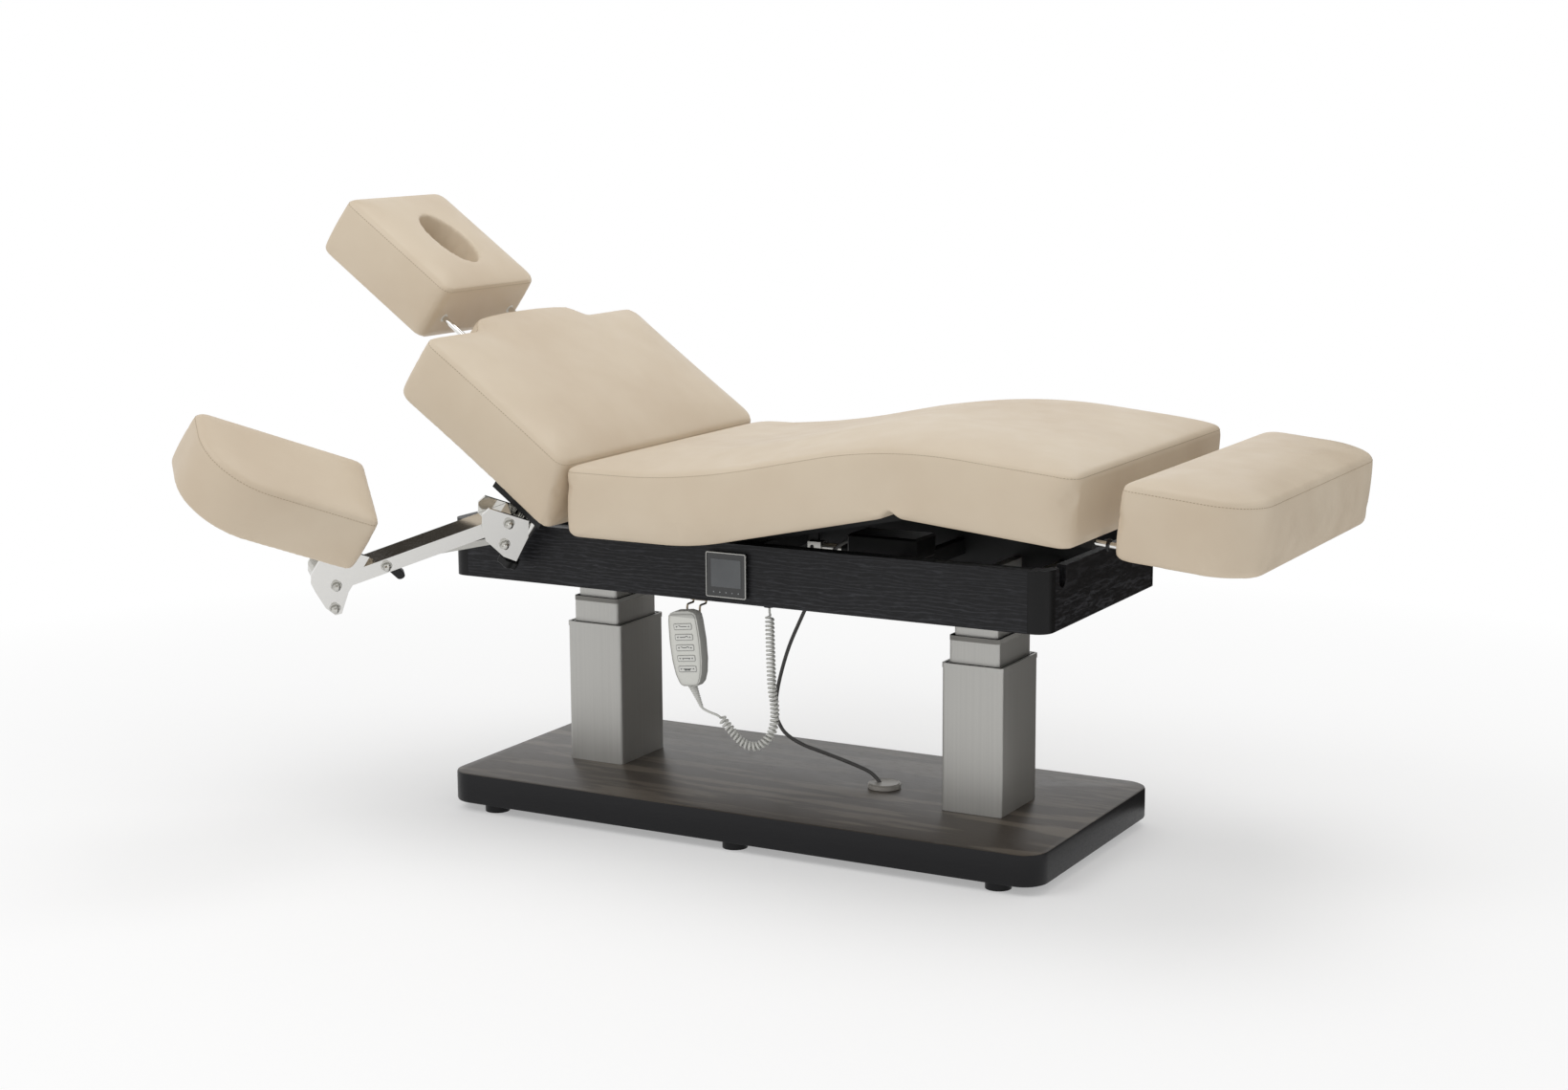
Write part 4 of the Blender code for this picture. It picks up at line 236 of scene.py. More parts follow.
class Shader:
    """Builds one procedural material around a Principled shader."""

    def __init__(self, name: str, hue: Hue, roughness: float, metallic: float = 0.0,
                 **constants: float) -> None:
        """Starts the material.

        Args:
            name: the material's name.
            hue: its base colour.
            roughness: its base roughness.
            metallic: 1 for bare metal.
            constants: other sockets of the shader, with underscores for spaces.
        """
        self.material = bpy.data.materials.new(name)
        self.material.use_nodes = True
        self.tree = self.material.node_tree
        self.shader = self.tree.nodes["Principled BSDF"]
        self.shader.inputs["Base Color"].default_value = linear(hue.value)
        self.shader.inputs["Roughness"].default_value = roughness
        self.shader.inputs["Metallic"].default_value = metallic
        for key, value in constants.items():
            self.shader.inputs[key.replace("_", " ")].default_value = value
        self.material.diffuse_color = linear(hue.value)

    def node(self, kind: str, links: dict | None = None, **values: object) -> bpy.types.Node:
        """Adds a node, sets its properties and links or sets its inputs.

        Args:
            kind: the node's type.
            links: inputs by name or number, each a socket or a value.
            values: properties of the node.

        Returns:
            The node.
        """
        made = self.tree.nodes.new(kind)
        for key, value in values.items():
            setattr(made, key, value)
        for key, value in (links or {}).items():
            if isinstance(value, Socket):
                self.tree.links.new(value, made.inputs[key])
            else:
                made.inputs[key].default_value = value
        return made

    def coords(self, scale: Point = (1, 1, 1), turn: Point = (0, 0, 0), source: str = "Object") -> Socket:
        """Object or UV coordinates, stretched and turned."""
        start = self.node("ShaderNodeTexCoord").outputs[source]
        return self.node("ShaderNodeMapping", {"Vector": start, "Scale": scale, "Rotation": turn}).outputs[0]

    def noise(self, vector: Socket, scale: float, detail: float = 3.0, roughness: float = 0.5) -> Socket:
        """A noise value from 0 to 1."""
        links = {"Vector": vector, "Scale": scale, "Detail": detail, "Roughness": roughness}
        return self.node("ShaderNodeTexNoise", links).outputs[0]

    def ramp(self, value: Socket, *stops: tuple[float, Hue | str]) -> Socket:
        """A colour from a value, by stops."""
        made = self.node("ShaderNodeValToRGB", {"Fac": value})
        elements = made.color_ramp.elements
        while len(elements) < len(stops):
            elements.new(0.5)
        for element, (place, hue) in zip(elements, stops):
            element.position = place
            element.color = linear(getattr(hue, "value", hue))
        return made.outputs[0]

    def fit(self, value: Socket, low: float, high: float, from_low: float = 0.0,
            from_high: float = 1.0) -> Socket:
        """A value moved to another range, clamped."""
        links = {"Value": value, "From Min": from_low, "From Max": from_high, "To Min": low, "To Max": high}
        return self.node("ShaderNodeMapRange", links).outputs[0]

    def math(self, operation: str, a: Socket, b: Socket | float = 0.0) -> Socket:
        """Two values put together by an operation."""
        return self.node("ShaderNodeMath", {0: a, 1: b}, operation=operation).outputs[0]

    def mix(self, share: Socket, first: Socket | Hue | Point, second: Socket | Hue) -> Socket:
        """A colour between two."""
        made = self.node("ShaderNodeMix", data_type="RGBA")
        for socket, value in zip((made.inputs[0], made.inputs[6], made.inputs[7]), (share, first, second)):
            value = linear(value.value) if isinstance(value, Hue) else value
            if isinstance(value, Socket):
                self.tree.links.new(value, socket)
            else:
                socket.default_value = value
        return made.outputs[2]

    def axis(self, name: str, source: str = "Object") -> Socket:
        """One coordinate of the point, or of its normal."""
        kind = {"Object": "ShaderNodeTexCoord", "Normal": "ShaderNodeNewGeometry"}[source]
        return self.node("ShaderNodeSeparateXYZ", {0: self.node(kind).outputs[source]}).outputs[name]

    def set(self, name: str, socket: Socket) -> None:
        """Links a socket to the shader."""
        self.tree.links.new(socket, self.shader.inputs[name])

    def bump(self, height: Socket, strength: float, distance: float) -> None:
        """Adds fine relief."""
        made = self.node("ShaderNodeBump", {"Height": height, "Strength": strength, "Distance": distance})
        earlier = self.shader.inputs["Normal"].links
        if earlier:
            self.tree.links.new(earlier[0].from_socket, made.inputs["Normal"])
        self.set("Normal", made.outputs[0])


class Finishes:
    """Every finish of the table, each made once."""

    def __init__(self) -> None:
        """Makes the materials."""
        self.leather = self._leather()
        self.thread = self._plain("sewing_thread", Hue.THREAD, 0.75, 900, 0.2)
        self.board = self._plain("black_backing_board", Hue.BOARD, 0.85, 260, 0.35)
        self.silver = self._silver()
        self.chrome = self._metal("bright_chrome", Hue.CHROME, 0.07, 0.13, 14)
        self.zinc = self._metal("zinc_plate", Hue.ZINC, 0.26, 0.40, 60)
        self.bronze = self._metal("bronze_wire", Hue.BRONZE, 0.30, 0.42, 60)
        self.steel = self._plain("black_powder_coat", Hue.STEEL, 0.55, 700, 0.25)
        self.black = self._plain("black_plastic", Hue.BLACK, 0.42, 500, 0.15)
        self.rubber = self._plain("black_rubber", Hue.RUBBER, 0.80, 400, 0.20)
        self.handset = self._handset()
        self.key = self._plain("key_grey_plastic", Hue.KEY, 0.55, 600, 0.08)
        self.pictogram = self._plain("key_print", Hue.PICTOGRAM, 0.60, 800, 0.05)
        self.cord = self._plain("pale_cord_plastic", Hue.CORD, 0.45, 300, 0.10)
        self.white = self._plain("white_plastic", Hue.WHITE_PLASTIC, 0.40, 300, 0.08)
        self.cable = self._braid()
        self.glass = self._glass()
        self.screen = self._screen()
        self.mark = self._plain("panel_print", Hue.MARK, 0.50, 800, 0.05)
        self.collar = self._plain("grey_collar_plastic", Hue.COLLAR, 0.45, 400, 0.08)
        # darker grey of the handset's shadow line: painted shade of the groove round its face
        self.edge = self._plain("handset_joint", Hue.HANDSET_EDGE, 0.55, 500, 0.05)
        self.grommet = self._plain("pale_plastic", Hue.GROMMET, 0.42, 300, 0.08)

    @staticmethod
    def _plain(name: str, hue: Hue, roughness: float, scale: float, strength: float) -> bpy.types.Material:
        """Moulded or coated surface: a fine texture, a slow change of gloss and of tone."""
        made = Shader(name, hue, roughness, Specular_IOR_Level=0.35)
        place = made.coords()
        slow = made.noise(place, 9.0, 3.0)
        made.set("Base Color", made.mix(made.fit(slow, 0.0, 1.0, 0.3, 0.7), darker(hue, 0.88), hue))
        made.set("Roughness", made.fit(slow, roughness - 0.05, roughness + 0.06, 0.3, 0.7))
        made.bump(made.noise(place, scale, 2.0), strength, 0.0004)
        return made.material

    @staticmethod
    def _metal(name: str, hue: Hue, low: float, high: float, scale: float) -> bpy.types.Material:
        """Polished or plated metal with wiped patches."""
        made = Shader(name, hue, low, 1.0)
        place = made.coords()
        made.set("Roughness", made.fit(made.noise(place, scale, 5.0, 0.6), low, high, 0.35, 0.75))
        made.bump(made.noise(place, scale * 2, 2.0), 0.03, 0.0005)
        return made.material

    @staticmethod
    def _leather() -> bpy.types.Material:
        """Smooth synthetic leather with a fine pebble grain."""
        made = Shader("beige_synthetic_leather", Hue.LEATHER, 0.46, Specular_IOR_Level=0.42)
        place = made.coords()
        slow = made.noise(place, 3.2, 4.0, 0.55)
        made.set("Base Color", made.ramp(slow, (0.32, Hue.LEATHER_DEEP), (0.62, Hue.LEATHER)))
        made.set("Roughness", made.fit(made.noise(place, 21.0, 3.0), 0.41, 0.53, 0.3, 0.7))
        links = {"Vector": place, "Scale": 620.0}
        cells = made.node("ShaderNodeTexVoronoi", links, feature="SMOOTH_F1").outputs[0]
        made.bump(cells, 0.10, 0.0005)
        made.bump(made.noise(place, 46.0, 3.0, 0.6), 0.05, 0.002)
        return made.material

    @staticmethod
    def oak(name: str, dark: Hue, light: Hue, roughness: float, along: str, amount: float,
            bands: float, dress: Callable[[Shader, Socket], Socket] | None = None,
            wander: float = 1.4, edge: float = 0.70) -> bpy.types.Material:
        """Open-grained oak laminate.

        Args:
            name: the material's name.
            dark: the ground colour.
            light: the colour of the pores and streaks.
            roughness: the mean roughness.
            along: the axis that the grain follows, X or Y.
            amount: how strongly the light grain shows.
            bands: how close the growth rings lie.
            dress: changes the colour once the grain is on.
            wander: how far the growth rings leave a straight line.
            edge: how much of each ring stays dark, from 0 to 1.

        Returns:
            The material.
        """
        made = Shader(name, dark, roughness, Specular_IOR_Level=0.22)
        long, cross = 1.1, 9.0
        scale = (long, cross, cross) if along == "X" else (cross, long, cross)
        place = made.coords(scale)
        fine = made.coords(tuple(s * 9 for s in scale))
        links = {"Vector": place, "Scale": bands, "Distortion": bands * wander, "Detail": 4.0,
                 "Detail Scale": 0.57 * wander, "Detail Roughness": 0.55}
        direction = "Z" if along == "X" else "X"
        wave = made.node("ShaderNodeTexWave", links, wave_type="BANDS", bands_direction=direction).outputs[1]
        rings = made.fit(wave, 0.0, 1.0, edge, 0.26 + edge)
        pores = made.fit(made.noise(fine, 3.4, 5.0, 0.65), 0.0, 1.0, 0.50, 0.72)
        grain = made.math("MULTIPLY", made.math("MAXIMUM", rings, made.math("MULTIPLY", pores, 0.55)), amount)
        patches = made.fit(made.noise(place, 0.8, 2.0), 0.45, 1.0, 0.35, 0.65)
        colour = made.mix(made.math("MULTIPLY", grain, patches), dark, light)
        if dress:
            colour = dress(made, colour)
        made.set("Base Color", colour)
        made.set("Roughness", made.fit(pores, roughness, roughness + 0.14))
        made.bump(grain, 0.10, 0.0005)
        return made.material

    @staticmethod
    def apron(name: str, along: str, ends: tuple[float, float] | None) -> bpy.types.Material:
        """Charcoal oak whose corner posts are coloured black but keep the oak's relief.

        Args:
            name: the material's name.
            along: the grain's axis.
            ends: where the posts start along that axis, or None where the piece has no posts.

        Returns:
            The material.
        """
        def posts(made: Shader, colour: Socket) -> Socket:
            low, high = ends
            place = made.axis(along)
            outside = made.math("MAXIMUM", made.math("LESS_THAN", place, low),
                                made.math("GREATER_THAN", place, high))
            return made.mix(outside, colour, Hue.POST)
        return Finishes.oak(name, Hue.APRON, Hue.APRON_GRAIN, roughness=0.40, along=along, amount=0.75,
                            bands=4.6, dress=posts if ends else None, wander=2.3, edge=0.86)

    @staticmethod
    def base(name: str) -> bpy.types.Material:
        """Grey-brown oak on top, near black on the edges and underneath."""
        def edges(made: Shader, colour: Socket) -> Socket:
            up = made.math("GREATER_THAN", made.axis("Z", "Normal"), 0.85)
            return made.mix(up, Hue.BASE_EDGE, colour)
        return Finishes.oak(name, Hue.BASE_TOP, Hue.BASE_GRAIN, roughness=0.34, along="X", amount=0.9,
                            bands=3.2, dress=edges)

    @staticmethod
    def _silver() -> bpy.types.Material:
        """Satin anodised aluminium, drawn along its length."""
        made = Shader("silver_anodised", Hue.SILVER, 0.40, 0.75)
        lines = made.noise(made.coords((260.0, 260.0, 2.0)), 1.0, 4.0, 0.6)
        made.set("Roughness", made.fit(lines, 0.36, 0.46, 0.3, 0.7))
        share = made.fit(lines, 0.0, 1.0, 0.35, 0.65)
        made.set("Base Color", made.mix(share, darker(Hue.SILVER, 0.93), Hue.SILVER))
        made.bump(lines, 0.04, 0.0004)
        return made.material

    @staticmethod
    def _handset() -> bpy.types.Material:
        """Pale moulded plastic, a little darker on the sides."""
        made = Shader("pale_grey_plastic", Hue.HANDSET, 0.48)
        front = made.fit(made.axis("Y", "Normal"), 0.0, 1.0, -0.95, -0.55)
        dome = made.math("GREATER_THAN", made.axis("Z"), HANDSET_DOME_Z)
        body = made.mix(front, Hue.HANDSET, Hue.HANDSET_EDGE)
        made.set("Base Color", made.mix(made.math("MULTIPLY", dome, 0.55), body, Hue.HANDSET_EDGE))
        made.bump(made.noise(made.coords(), 700.0, 2.0), 0.10, 0.0003)
        return made.material

    @staticmethod
    def _braid() -> bpy.types.Material:
        """Braided cable sleeve: two crossing sets of strands, laid on the tube's own UV."""
        made = Shader("braided_cable", Hue.CABLE, 0.62)
        sets = []
        for turn in (math.pi / 4, -math.pi / 4):
            links = {"Vector": made.coords((1, 1, 1), (0, 0, turn), "UV"), "Scale": 1.0}
            wave = made.node("ShaderNodeTexWave", links, wave_type="BANDS", bands_direction="X")
            sets.append(wave.outputs[1])
        weave = made.math("MULTIPLY", sets[0], sets[1])
        made.set("Base Color", made.mix(made.fit(weave, 0.0, 0.8, 0.2, 0.9), Hue.CABLE, Hue.CABLE_LIGHT))
        made.bump(weave, 0.4, 0.0005)
        return made.material

    @staticmethod
    def _glass() -> bpy.types.Material:
        """Black glass front."""
        made = Shader("panel_glass", Hue.GLASS, 0.06, Coat_Weight=0.6, Coat_Roughness=0.03)
        made.set("Roughness", made.fit(made.noise(made.coords(), 40.0, 4.0), 0.05, 0.14, 0.3, 0.7))
        return made.material

    @staticmethod
    def _screen() -> bpy.types.Material:
        """Unlit display behind the glass, its tone changing a little at random."""
        made = Shader("panel_screen", Hue.SCREEN, 0.22, Coat_Weight=0.5, Coat_Roughness=0.05)
        slow = made.noise(made.coords(), 22.0, 2.0)
        made.set("Base Color", made.ramp(slow, (0.30, "#45484B"), (0.70, Hue.SCREEN)))
        return made.material


@dataclass(frozen=True)
class Place:
    """A local frame of the table: an origin with its own axes, in the row frame."""

    matrix: Matrix

    @staticmethod
    def of(origin: Point, along: Point, across: Point) -> "Place":
        """A place from its origin, its X axis and its Y axis."""
        x, y = Vector(along).normalized(), Vector(across).normalized()
        z = x.cross(y).normalized()
        matrix = Matrix((x, y, z)).transposed().to_4x4()
        matrix.translation = Vector(origin)
        return Place(matrix)

    def at(self, x: float, y: float, z: float) -> Vector:
        """A point of this place in the row frame."""
        return self.matrix @ Vector((x, y, z))

    def way(self, x: float, y: float, z: float) -> Vector:
        """A direction of this place in the row frame."""
        return self.matrix.to_3x3() @ Vector((x, y, z))


class Places:
    """The local frames of the table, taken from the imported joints."""

    def __init__(self, joints: Iterable[dict]) -> None:
        """Reads the joints' places and axes."""
        by_name = {j["name"]: j for j in joints}

        def pos(name: str) -> Vector:
            return Vector(by_name[name]["pos_m"])

        def axis(name: str) -> Vector:
            return Vector(by_name[name]["axis"])

        low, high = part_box("base_board")
        self.shift = Vector(((low.x + high.x) / 2, (low.y + high.y) / 2, 0.0))
        across = Vector((0, 1, 0))
        self.seat = Place.of(pos("thigh_lift"), (1, 0, 0), across)
        self.back = Place.of(pos("back_tilt"), -axis("headrest_slide"), across)
        self.thigh = Place.of(pos("thigh_lift"), pos("knee") - pos("thigh_lift"), across)
        self.leg = Place.of(pos("knee"), axis("bolster_slide"), across)
        up, side = axis("arm_swing"), axis("arm_lift")
        self.arm = Place.of(pos("arm_swing"), side.cross(up), side)
        self.bar = Place.of(pos("arm_lift"), pos("arm_lift") - pos("pad_level"), side)
        self.carrier = Place.of(pos("pad_level"), side.cross(up), side)


def link(name: str, mesh: bpy.types.Mesh, *materials: bpy.types.Material) -> bpy.types.Object:
    """Puts a mesh into the scene as an object at the origin."""
    made = bpy.data.objects.new(name, mesh)
    bpy.context.scene.collection.objects.link(made)
    for material in materials:
        mesh.materials.append(material)
    return made


def to_object(name: str, shape: bmesh.types.BMesh, place: Place | None, *materials: bpy.types.Material,
              angle: float = 40.0) -> bpy.types.Object:
    """Closes a bmesh into an object whose place is in its mesh."""
    bmesh.ops.recalc_face_normals(shape, faces=shape.faces)
    if place:
        shape.transform(place.matrix)
    mesh = bpy.data.meshes.new(name)
    shape.to_mesh(mesh)
    shape.free()
    mesh.shade_smooth()
    mesh.set_sharp_from_angle(angle=math.radians(angle))
    return link(name, mesh, *materials)


def settle(made: bpy.types.Object) -> bpy.types.Object:
    """Applies every modifier of an object."""
    made_mesh = bpy.data.meshes.new_from_object(made.evaluated_get(bpy.context.evaluated_depsgraph_get()))
    made.modifiers.clear()
    old = made.data
    made.data = made_mesh
    bpy.data.meshes.remove(old)
    return made


def circle(centre: Vector, side: Vector, other: Vector, radius: float, sides: int) -> list[Vector]:
    """Points on a circle in the plane of two directions."""
    angles = (2 * math.pi * k / sides for k in range(sides))
    return [centre + (side * math.cos(a) + other * math.sin(a)) * radius for a in angles]


def upright(axis: str, a: float, b: float, level: float) -> Point:
    """A point from its two coordinates in a plane and its level on the axis across it."""
    return {"x": (level, a, b), "y": (a, level, b), "z": (a, b, level)}[axis]


def bridge(shape: bmesh.types.BMesh, rings: Sequence[Sequence[bmesh.types.BMVert]]) -> None:
    """Joins each ring of vertices to the next with quads."""
    count = len(rings[0])
    for here, there in zip(rings, rings[1:]):
        for i in range(count):
            j = (i + 1) % count
            shape.faces.new((here[i], here[j], there[j], there[i]))


def sweep(points: Sequence[Point], radius: float, sides: int = 10, closed: bool = False, turns: float = 1.0,
          pitch: float = 0.01, shape: bmesh.types.BMesh | None = None) -> bmesh.types.BMesh:
    """A round tube along points, with its own UV: u runs round it and v along it.

    Args:
        points: the centreline.
        radius: the tube's radius.
        sides: the number of sides.
        closed: whether the end meets the start.
        turns: how often u repeats round the tube.
        pitch: the length along the tube for one unit of v.
        shape: a bmesh to add to.

    Returns:
        The bmesh.
    """
    shape = shape or bmesh.new()
    uv = shape.loops.layers.uv.verify()
    line = [Vector(p) for p in points]
    count = len(line)
    side = None
    rings, lengths = [], [0.0]
    for i, centre in enumerate(line):
        before = line[i - 1] if i or closed else centre
        after = line[(i + 1) % count] if i < count - 1 or closed else centre
        ahead = (after - before).normalized()
        side = ahead.orthogonal() if side is None else side - ahead * side.dot(ahead)
        side.normalize()
        if i:
            lengths.append(lengths[-1] + (centre - line[i - 1]).length)
        rings.append([shape.verts.new(p) for p in circle(centre, side, ahead.cross(side), radius, sides)])
    pairs = list(zip(range(count - 1), range(1, count))) + ([(count - 1, 0)] if closed else [])
    for here, there in pairs:
        for k in range(sides):
            j = (k + 1) % sides
            face = shape.faces.new((rings[here][k], rings[here][j], rings[there][j], rings[there][k]))
            ends = lengths[here], lengths[there] if there > here else lengths[here]
            for loop, (u, v) in zip(face.loops, ((k, 0), (k + 1, 0), (k + 1, 1), (k, 1))):
                loop[uv].uv = (turns * u / sides, ends[v] / pitch)
    if not closed:
        shape.faces.new(list(reversed(rings[0])))
        shape.faces.new(rings[-1])
    return shape


def prism(outline: Sequence[Point], low: float, high: float, axis: str = "z",
          rim: float = 0.0) -> bmesh.types.BMesh:
    """A flat shape between two levels, with chamfered rims.

    Args:
        outline: the shape's corners in its plane.
        low: its lower level.
        high: its upper level.
        axis: the axis that the levels are on.
        rim: the chamfer's width.

    Returns:
        The bmesh.
    """
    shape = bmesh.new()
    middle = (sum(p[0] for p in outline) / len(outline), sum(p[1] for p in outline) / len(outline))
    reach = max(math.dist(p, middle) for p in outline)
    shrink = 1 - rim / reach
    levels = [(low, 1.0), (high, 1.0)]
    if rim:
        levels = [(low, shrink), (low + rim, 1.0), (high - rim, 1.0), (high, shrink)]
    rings = []
    for level, grow in levels:
        grown = [(middle[0] + (x - middle[0]) * grow, middle[1] + (y - middle[1]) * grow) for x, y in outline]
        rings.append([shape.verts.new(upright(axis, x, y, level)) for x, y in grown])
    bridge(shape, rings)
    shape.faces.new(rings[0])
    shape.faces.new(rings[-1])
    return shape


def turned(profile: Sequence[Point], origin: Point, way: Point, sides: int = 24,
           shape: bmesh.types.BMesh | None = None, scale: float = 1.0) -> bmesh.types.BMesh:
    """A turned shape: a profile of (radius, height) round an axis.

    Args:
        profile: radii and heights, in metres times the scale.
        origin: the point at height 0.
        way: the axis.
        sides: the number of sides.
        shape: a bmesh to add to.
        scale: what the profile is multiplied by.

    Returns:
        The bmesh.
    """
    shape = shape or bmesh.new()
    up = Vector(way).normalized()
    side = up.orthogonal().normalized()
    other = up.cross(side)
    rings = []
    for radius, height in profile:
        centre = Vector(origin) + up * (height * scale)
        if radius <= 0:
            rings.append([shape.verts.new(centre)])
            continue
        rings.append([shape.verts.new(p) for p in circle(centre, side, other, radius * scale, sides)])
    for here, there in zip(rings, rings[1:]):
        for k in range(sides):
            j = (k + 1) % sides
            corners = [here[k % len(here)], here[j % len(here)], there[j % len(there)], there[k % len(there)]]
            unique = list(dict.fromkeys(corners))
            if len(unique) > 2:
                shape.faces.new(unique)
    for ring, flip in ((rings[0], True), (rings[-1], False)):
        if len(ring) > 1:
            shape.faces.new(list(reversed(ring)) if flip else ring)
    return shape


def arc(centre: Point, radius: float, start: float, end: float, steps: int) -> list[tuple[float, float]]:
    """Points on an arc, ends included."""
    angles = [start + (end - start) * i / steps for i in range(steps + 1)]
    return [(centre[0] + radius * math.cos(a), centre[1] + radius * math.sin(a)) for a in angles]


def rounded_box(x0: float, x1: float, y0: float, y1: float, radii: Sequence[float], steps: int = 8) -> list:
    """The outline of a rectangle with rounded corners, from its (x1, y1) corner anticlockwise."""
    corners = ((x1, y1, -1, -1, 0.0), (x0, y1, 1, -1, 0.5), (x0, y0, 1, 1, 1.0), (x1, y0, -1, 1, 1.5))
    points = []
    for (x, y, sx, sy, start), radius in zip(corners, radii):
        centre = (x + sx * radius, y + sy * radius)
        points += arc(centre, radius, start * math.pi, (start + 0.5) * math.pi, steps)
    return points


def spaced(points: Sequence[Vector], step: float) -> list[Vector]:
    """Adds points to a line so that no span is longer than a step.

    Args:
        points: the line.
        step: longest span in metres.

    Returns:
        The line with its added points.
    """
    line = [Vector(points[0])]
    for start, end in zip(points, points[1:]):
        count = max(1, math.ceil((Vector(end) - Vector(start)).length / step))
        line += [Vector(start).lerp(Vector(end), (i + 1) / count) for i in range(count)]
    return line


def eased(line: Sequence[Vector], start: int, end: int, passes: int = 36, ramp: int = 4) -> list[Vector]:
    """Smooths a stretch of a line, less and less towards the stretch's two ends.

    Args:
        line: the line.
        start: index of the last point that keeps its place.
        end: index of the next point that keeps its place.
        passes: how often each point moves towards the middle of its neighbours.
        ramp: points over which the smoothing fades in and out.

    Returns:
        The smoothed line.
    """
    made = [Vector(p) for p in line]
    for _ in range(passes):
        moved = list(made)
        for i in range(start + 1, end):
            share = min(1.0, (i - start) / ramp, (end - i) / ramp)
            moved[i] = made[i].lerp((made[i - 1] + made[i + 1]) / 2, share / 2)
        made = moved
    return made


def smooth_route(points: Sequence[Point], count: int) -> list[Vector]:
    """Evenly spaced points on a smooth curve through given points."""
    ends = [2 * Vector(points[0]) - Vector(points[1])] + [Vector(p) for p in points]
    ends.append(2 * Vector(points[-1]) - Vector(points[-2]))
    fine = []
    for i in range(1, len(ends) - 2):
        a, b, c, d = ends[i - 1 : i + 3]
        for k in range(24):
            t = k / 24
            square, cube = 2 * a - 5 * b + 4 * c - d, 3 * b - a - 3 * c + d
            fine.append(((2 * b) + (c - a) * t + square * t**2 + cube * t**3) / 2)
    return resampled(fine + [ends[-2]], count, False)


def axis_of(node: str) -> tuple[Vector, Vector]:
    """The two ends of a long CAD node, the higher one first."""
    place = bpy.data.objects[node].matrix_world
    points = np.array([place @ v.co for v in bpy.data.objects[node].data.vertices])
    middle = points.mean(0)
    along = np.linalg.svd(points - middle, full_matrices=False)[2][0]
    along *= -1 if along[2] > 0 else 1
    shares = (points - middle) @ along
    return Vector(middle + along * shares.min()), Vector(middle + along * shares.max())


def smooth_loop(points: Sequence[Vector], count: int) -> list[Vector]:
    """Even points on a closed loop through a few points."""
    return resampled(smooth_route(list(points) + [points[0]], count * 3)[:-1], count, True)


class StepTree:
    """A Geometry Nodes tree with geometry in and geometry out."""

    def __init__(self, name: str) -> None:
        """Starts the tree with its two sockets."""
        self.tree = bpy.data.node_groups.new(name, "GeometryNodeTree")
        for way in ("INPUT", "OUTPUT"):
            self.tree.interface.new_socket("Geometry", in_out=way, socket_type="NodeSocketGeometry")
        self.start, self.end = self.node("NodeGroupInput"), self.node("NodeGroupOutput")

    def node(self, kind: str, inputs: dict | None = None, **values: object) -> bpy.types.Node:
        """Adds a node with its properties and the constants of its inputs."""
        added = self.tree.nodes.new(kind)
        for key, value in values.items():
            setattr(added, key, value)
        for key, value in (inputs or {}).items():
            added.inputs[key].default_value = value
        return added

    def wire(self, *pairs: tuple[Socket, Socket]) -> None:
        """Links sockets in pairs."""
        for source, target in pairs:
            self.tree.links.new(source, target)


def walk(name: str, points: Sequence[Vector], item: bpy.types.Object, step: float,
         material: bpy.types.Material) -> bpy.types.Object:
    """Sets an item at even steps along a loop with Geometry Nodes, its Z axis along the loop.

    Args:
        name: the new object's name.
        points: the loop.
        item: the object that is repeated.
        step: the distance between two items.
        material: the items' finish.

    Returns:
        The object, with real geometry.
    """
    mesh = bpy.data.meshes.new(name)
    count = len(points)
    mesh.from_pydata([tuple(p) for p in points], [(i, (i + 1) % count) for i in range(count)], [])
    made = link(name, mesh)
    steps = StepTree(f"{name}_steps")
    curve = steps.node("GeometryNodeMeshToCurve")
    even = steps.node("GeometryNodeResampleCurve", {"Length": step}, mode="LENGTH")
    source = steps.node("GeometryNodeObjectInfo", {"Object": item})
    tangent = steps.node("GeometryNodeInputTangent")
    aim = steps.node("FunctionNodeAlignRotationToVector", axis="Z")
    place = steps.node("GeometryNodeInstanceOnPoints")
    real = steps.node("GeometryNodeRealizeInstances")
    paint = steps.node("GeometryNodeSetMaterial", {"Material": material})
    steps.wire(
        (steps.start.outputs[0], curve.inputs["Mesh"]), (curve.outputs[0], even.inputs["Curve"]),
        (even.outputs[0], place.inputs["Points"]), (source.outputs["Geometry"], place.inputs["Instance"]),
        (tangent.outputs[0], aim.inputs["Vector"]), (aim.outputs[0], place.inputs["Rotation"]),
        (place.outputs[0], real.inputs[0]), (real.outputs[0], paint.inputs["Geometry"]),
        (paint.outputs[0], steps.end.inputs[0]),
    )
    made.modifiers.new("steps", "NODES").node_group = steps.tree
    settle(made)
    bpy.data.node_groups.remove(steps.tree)
    return made


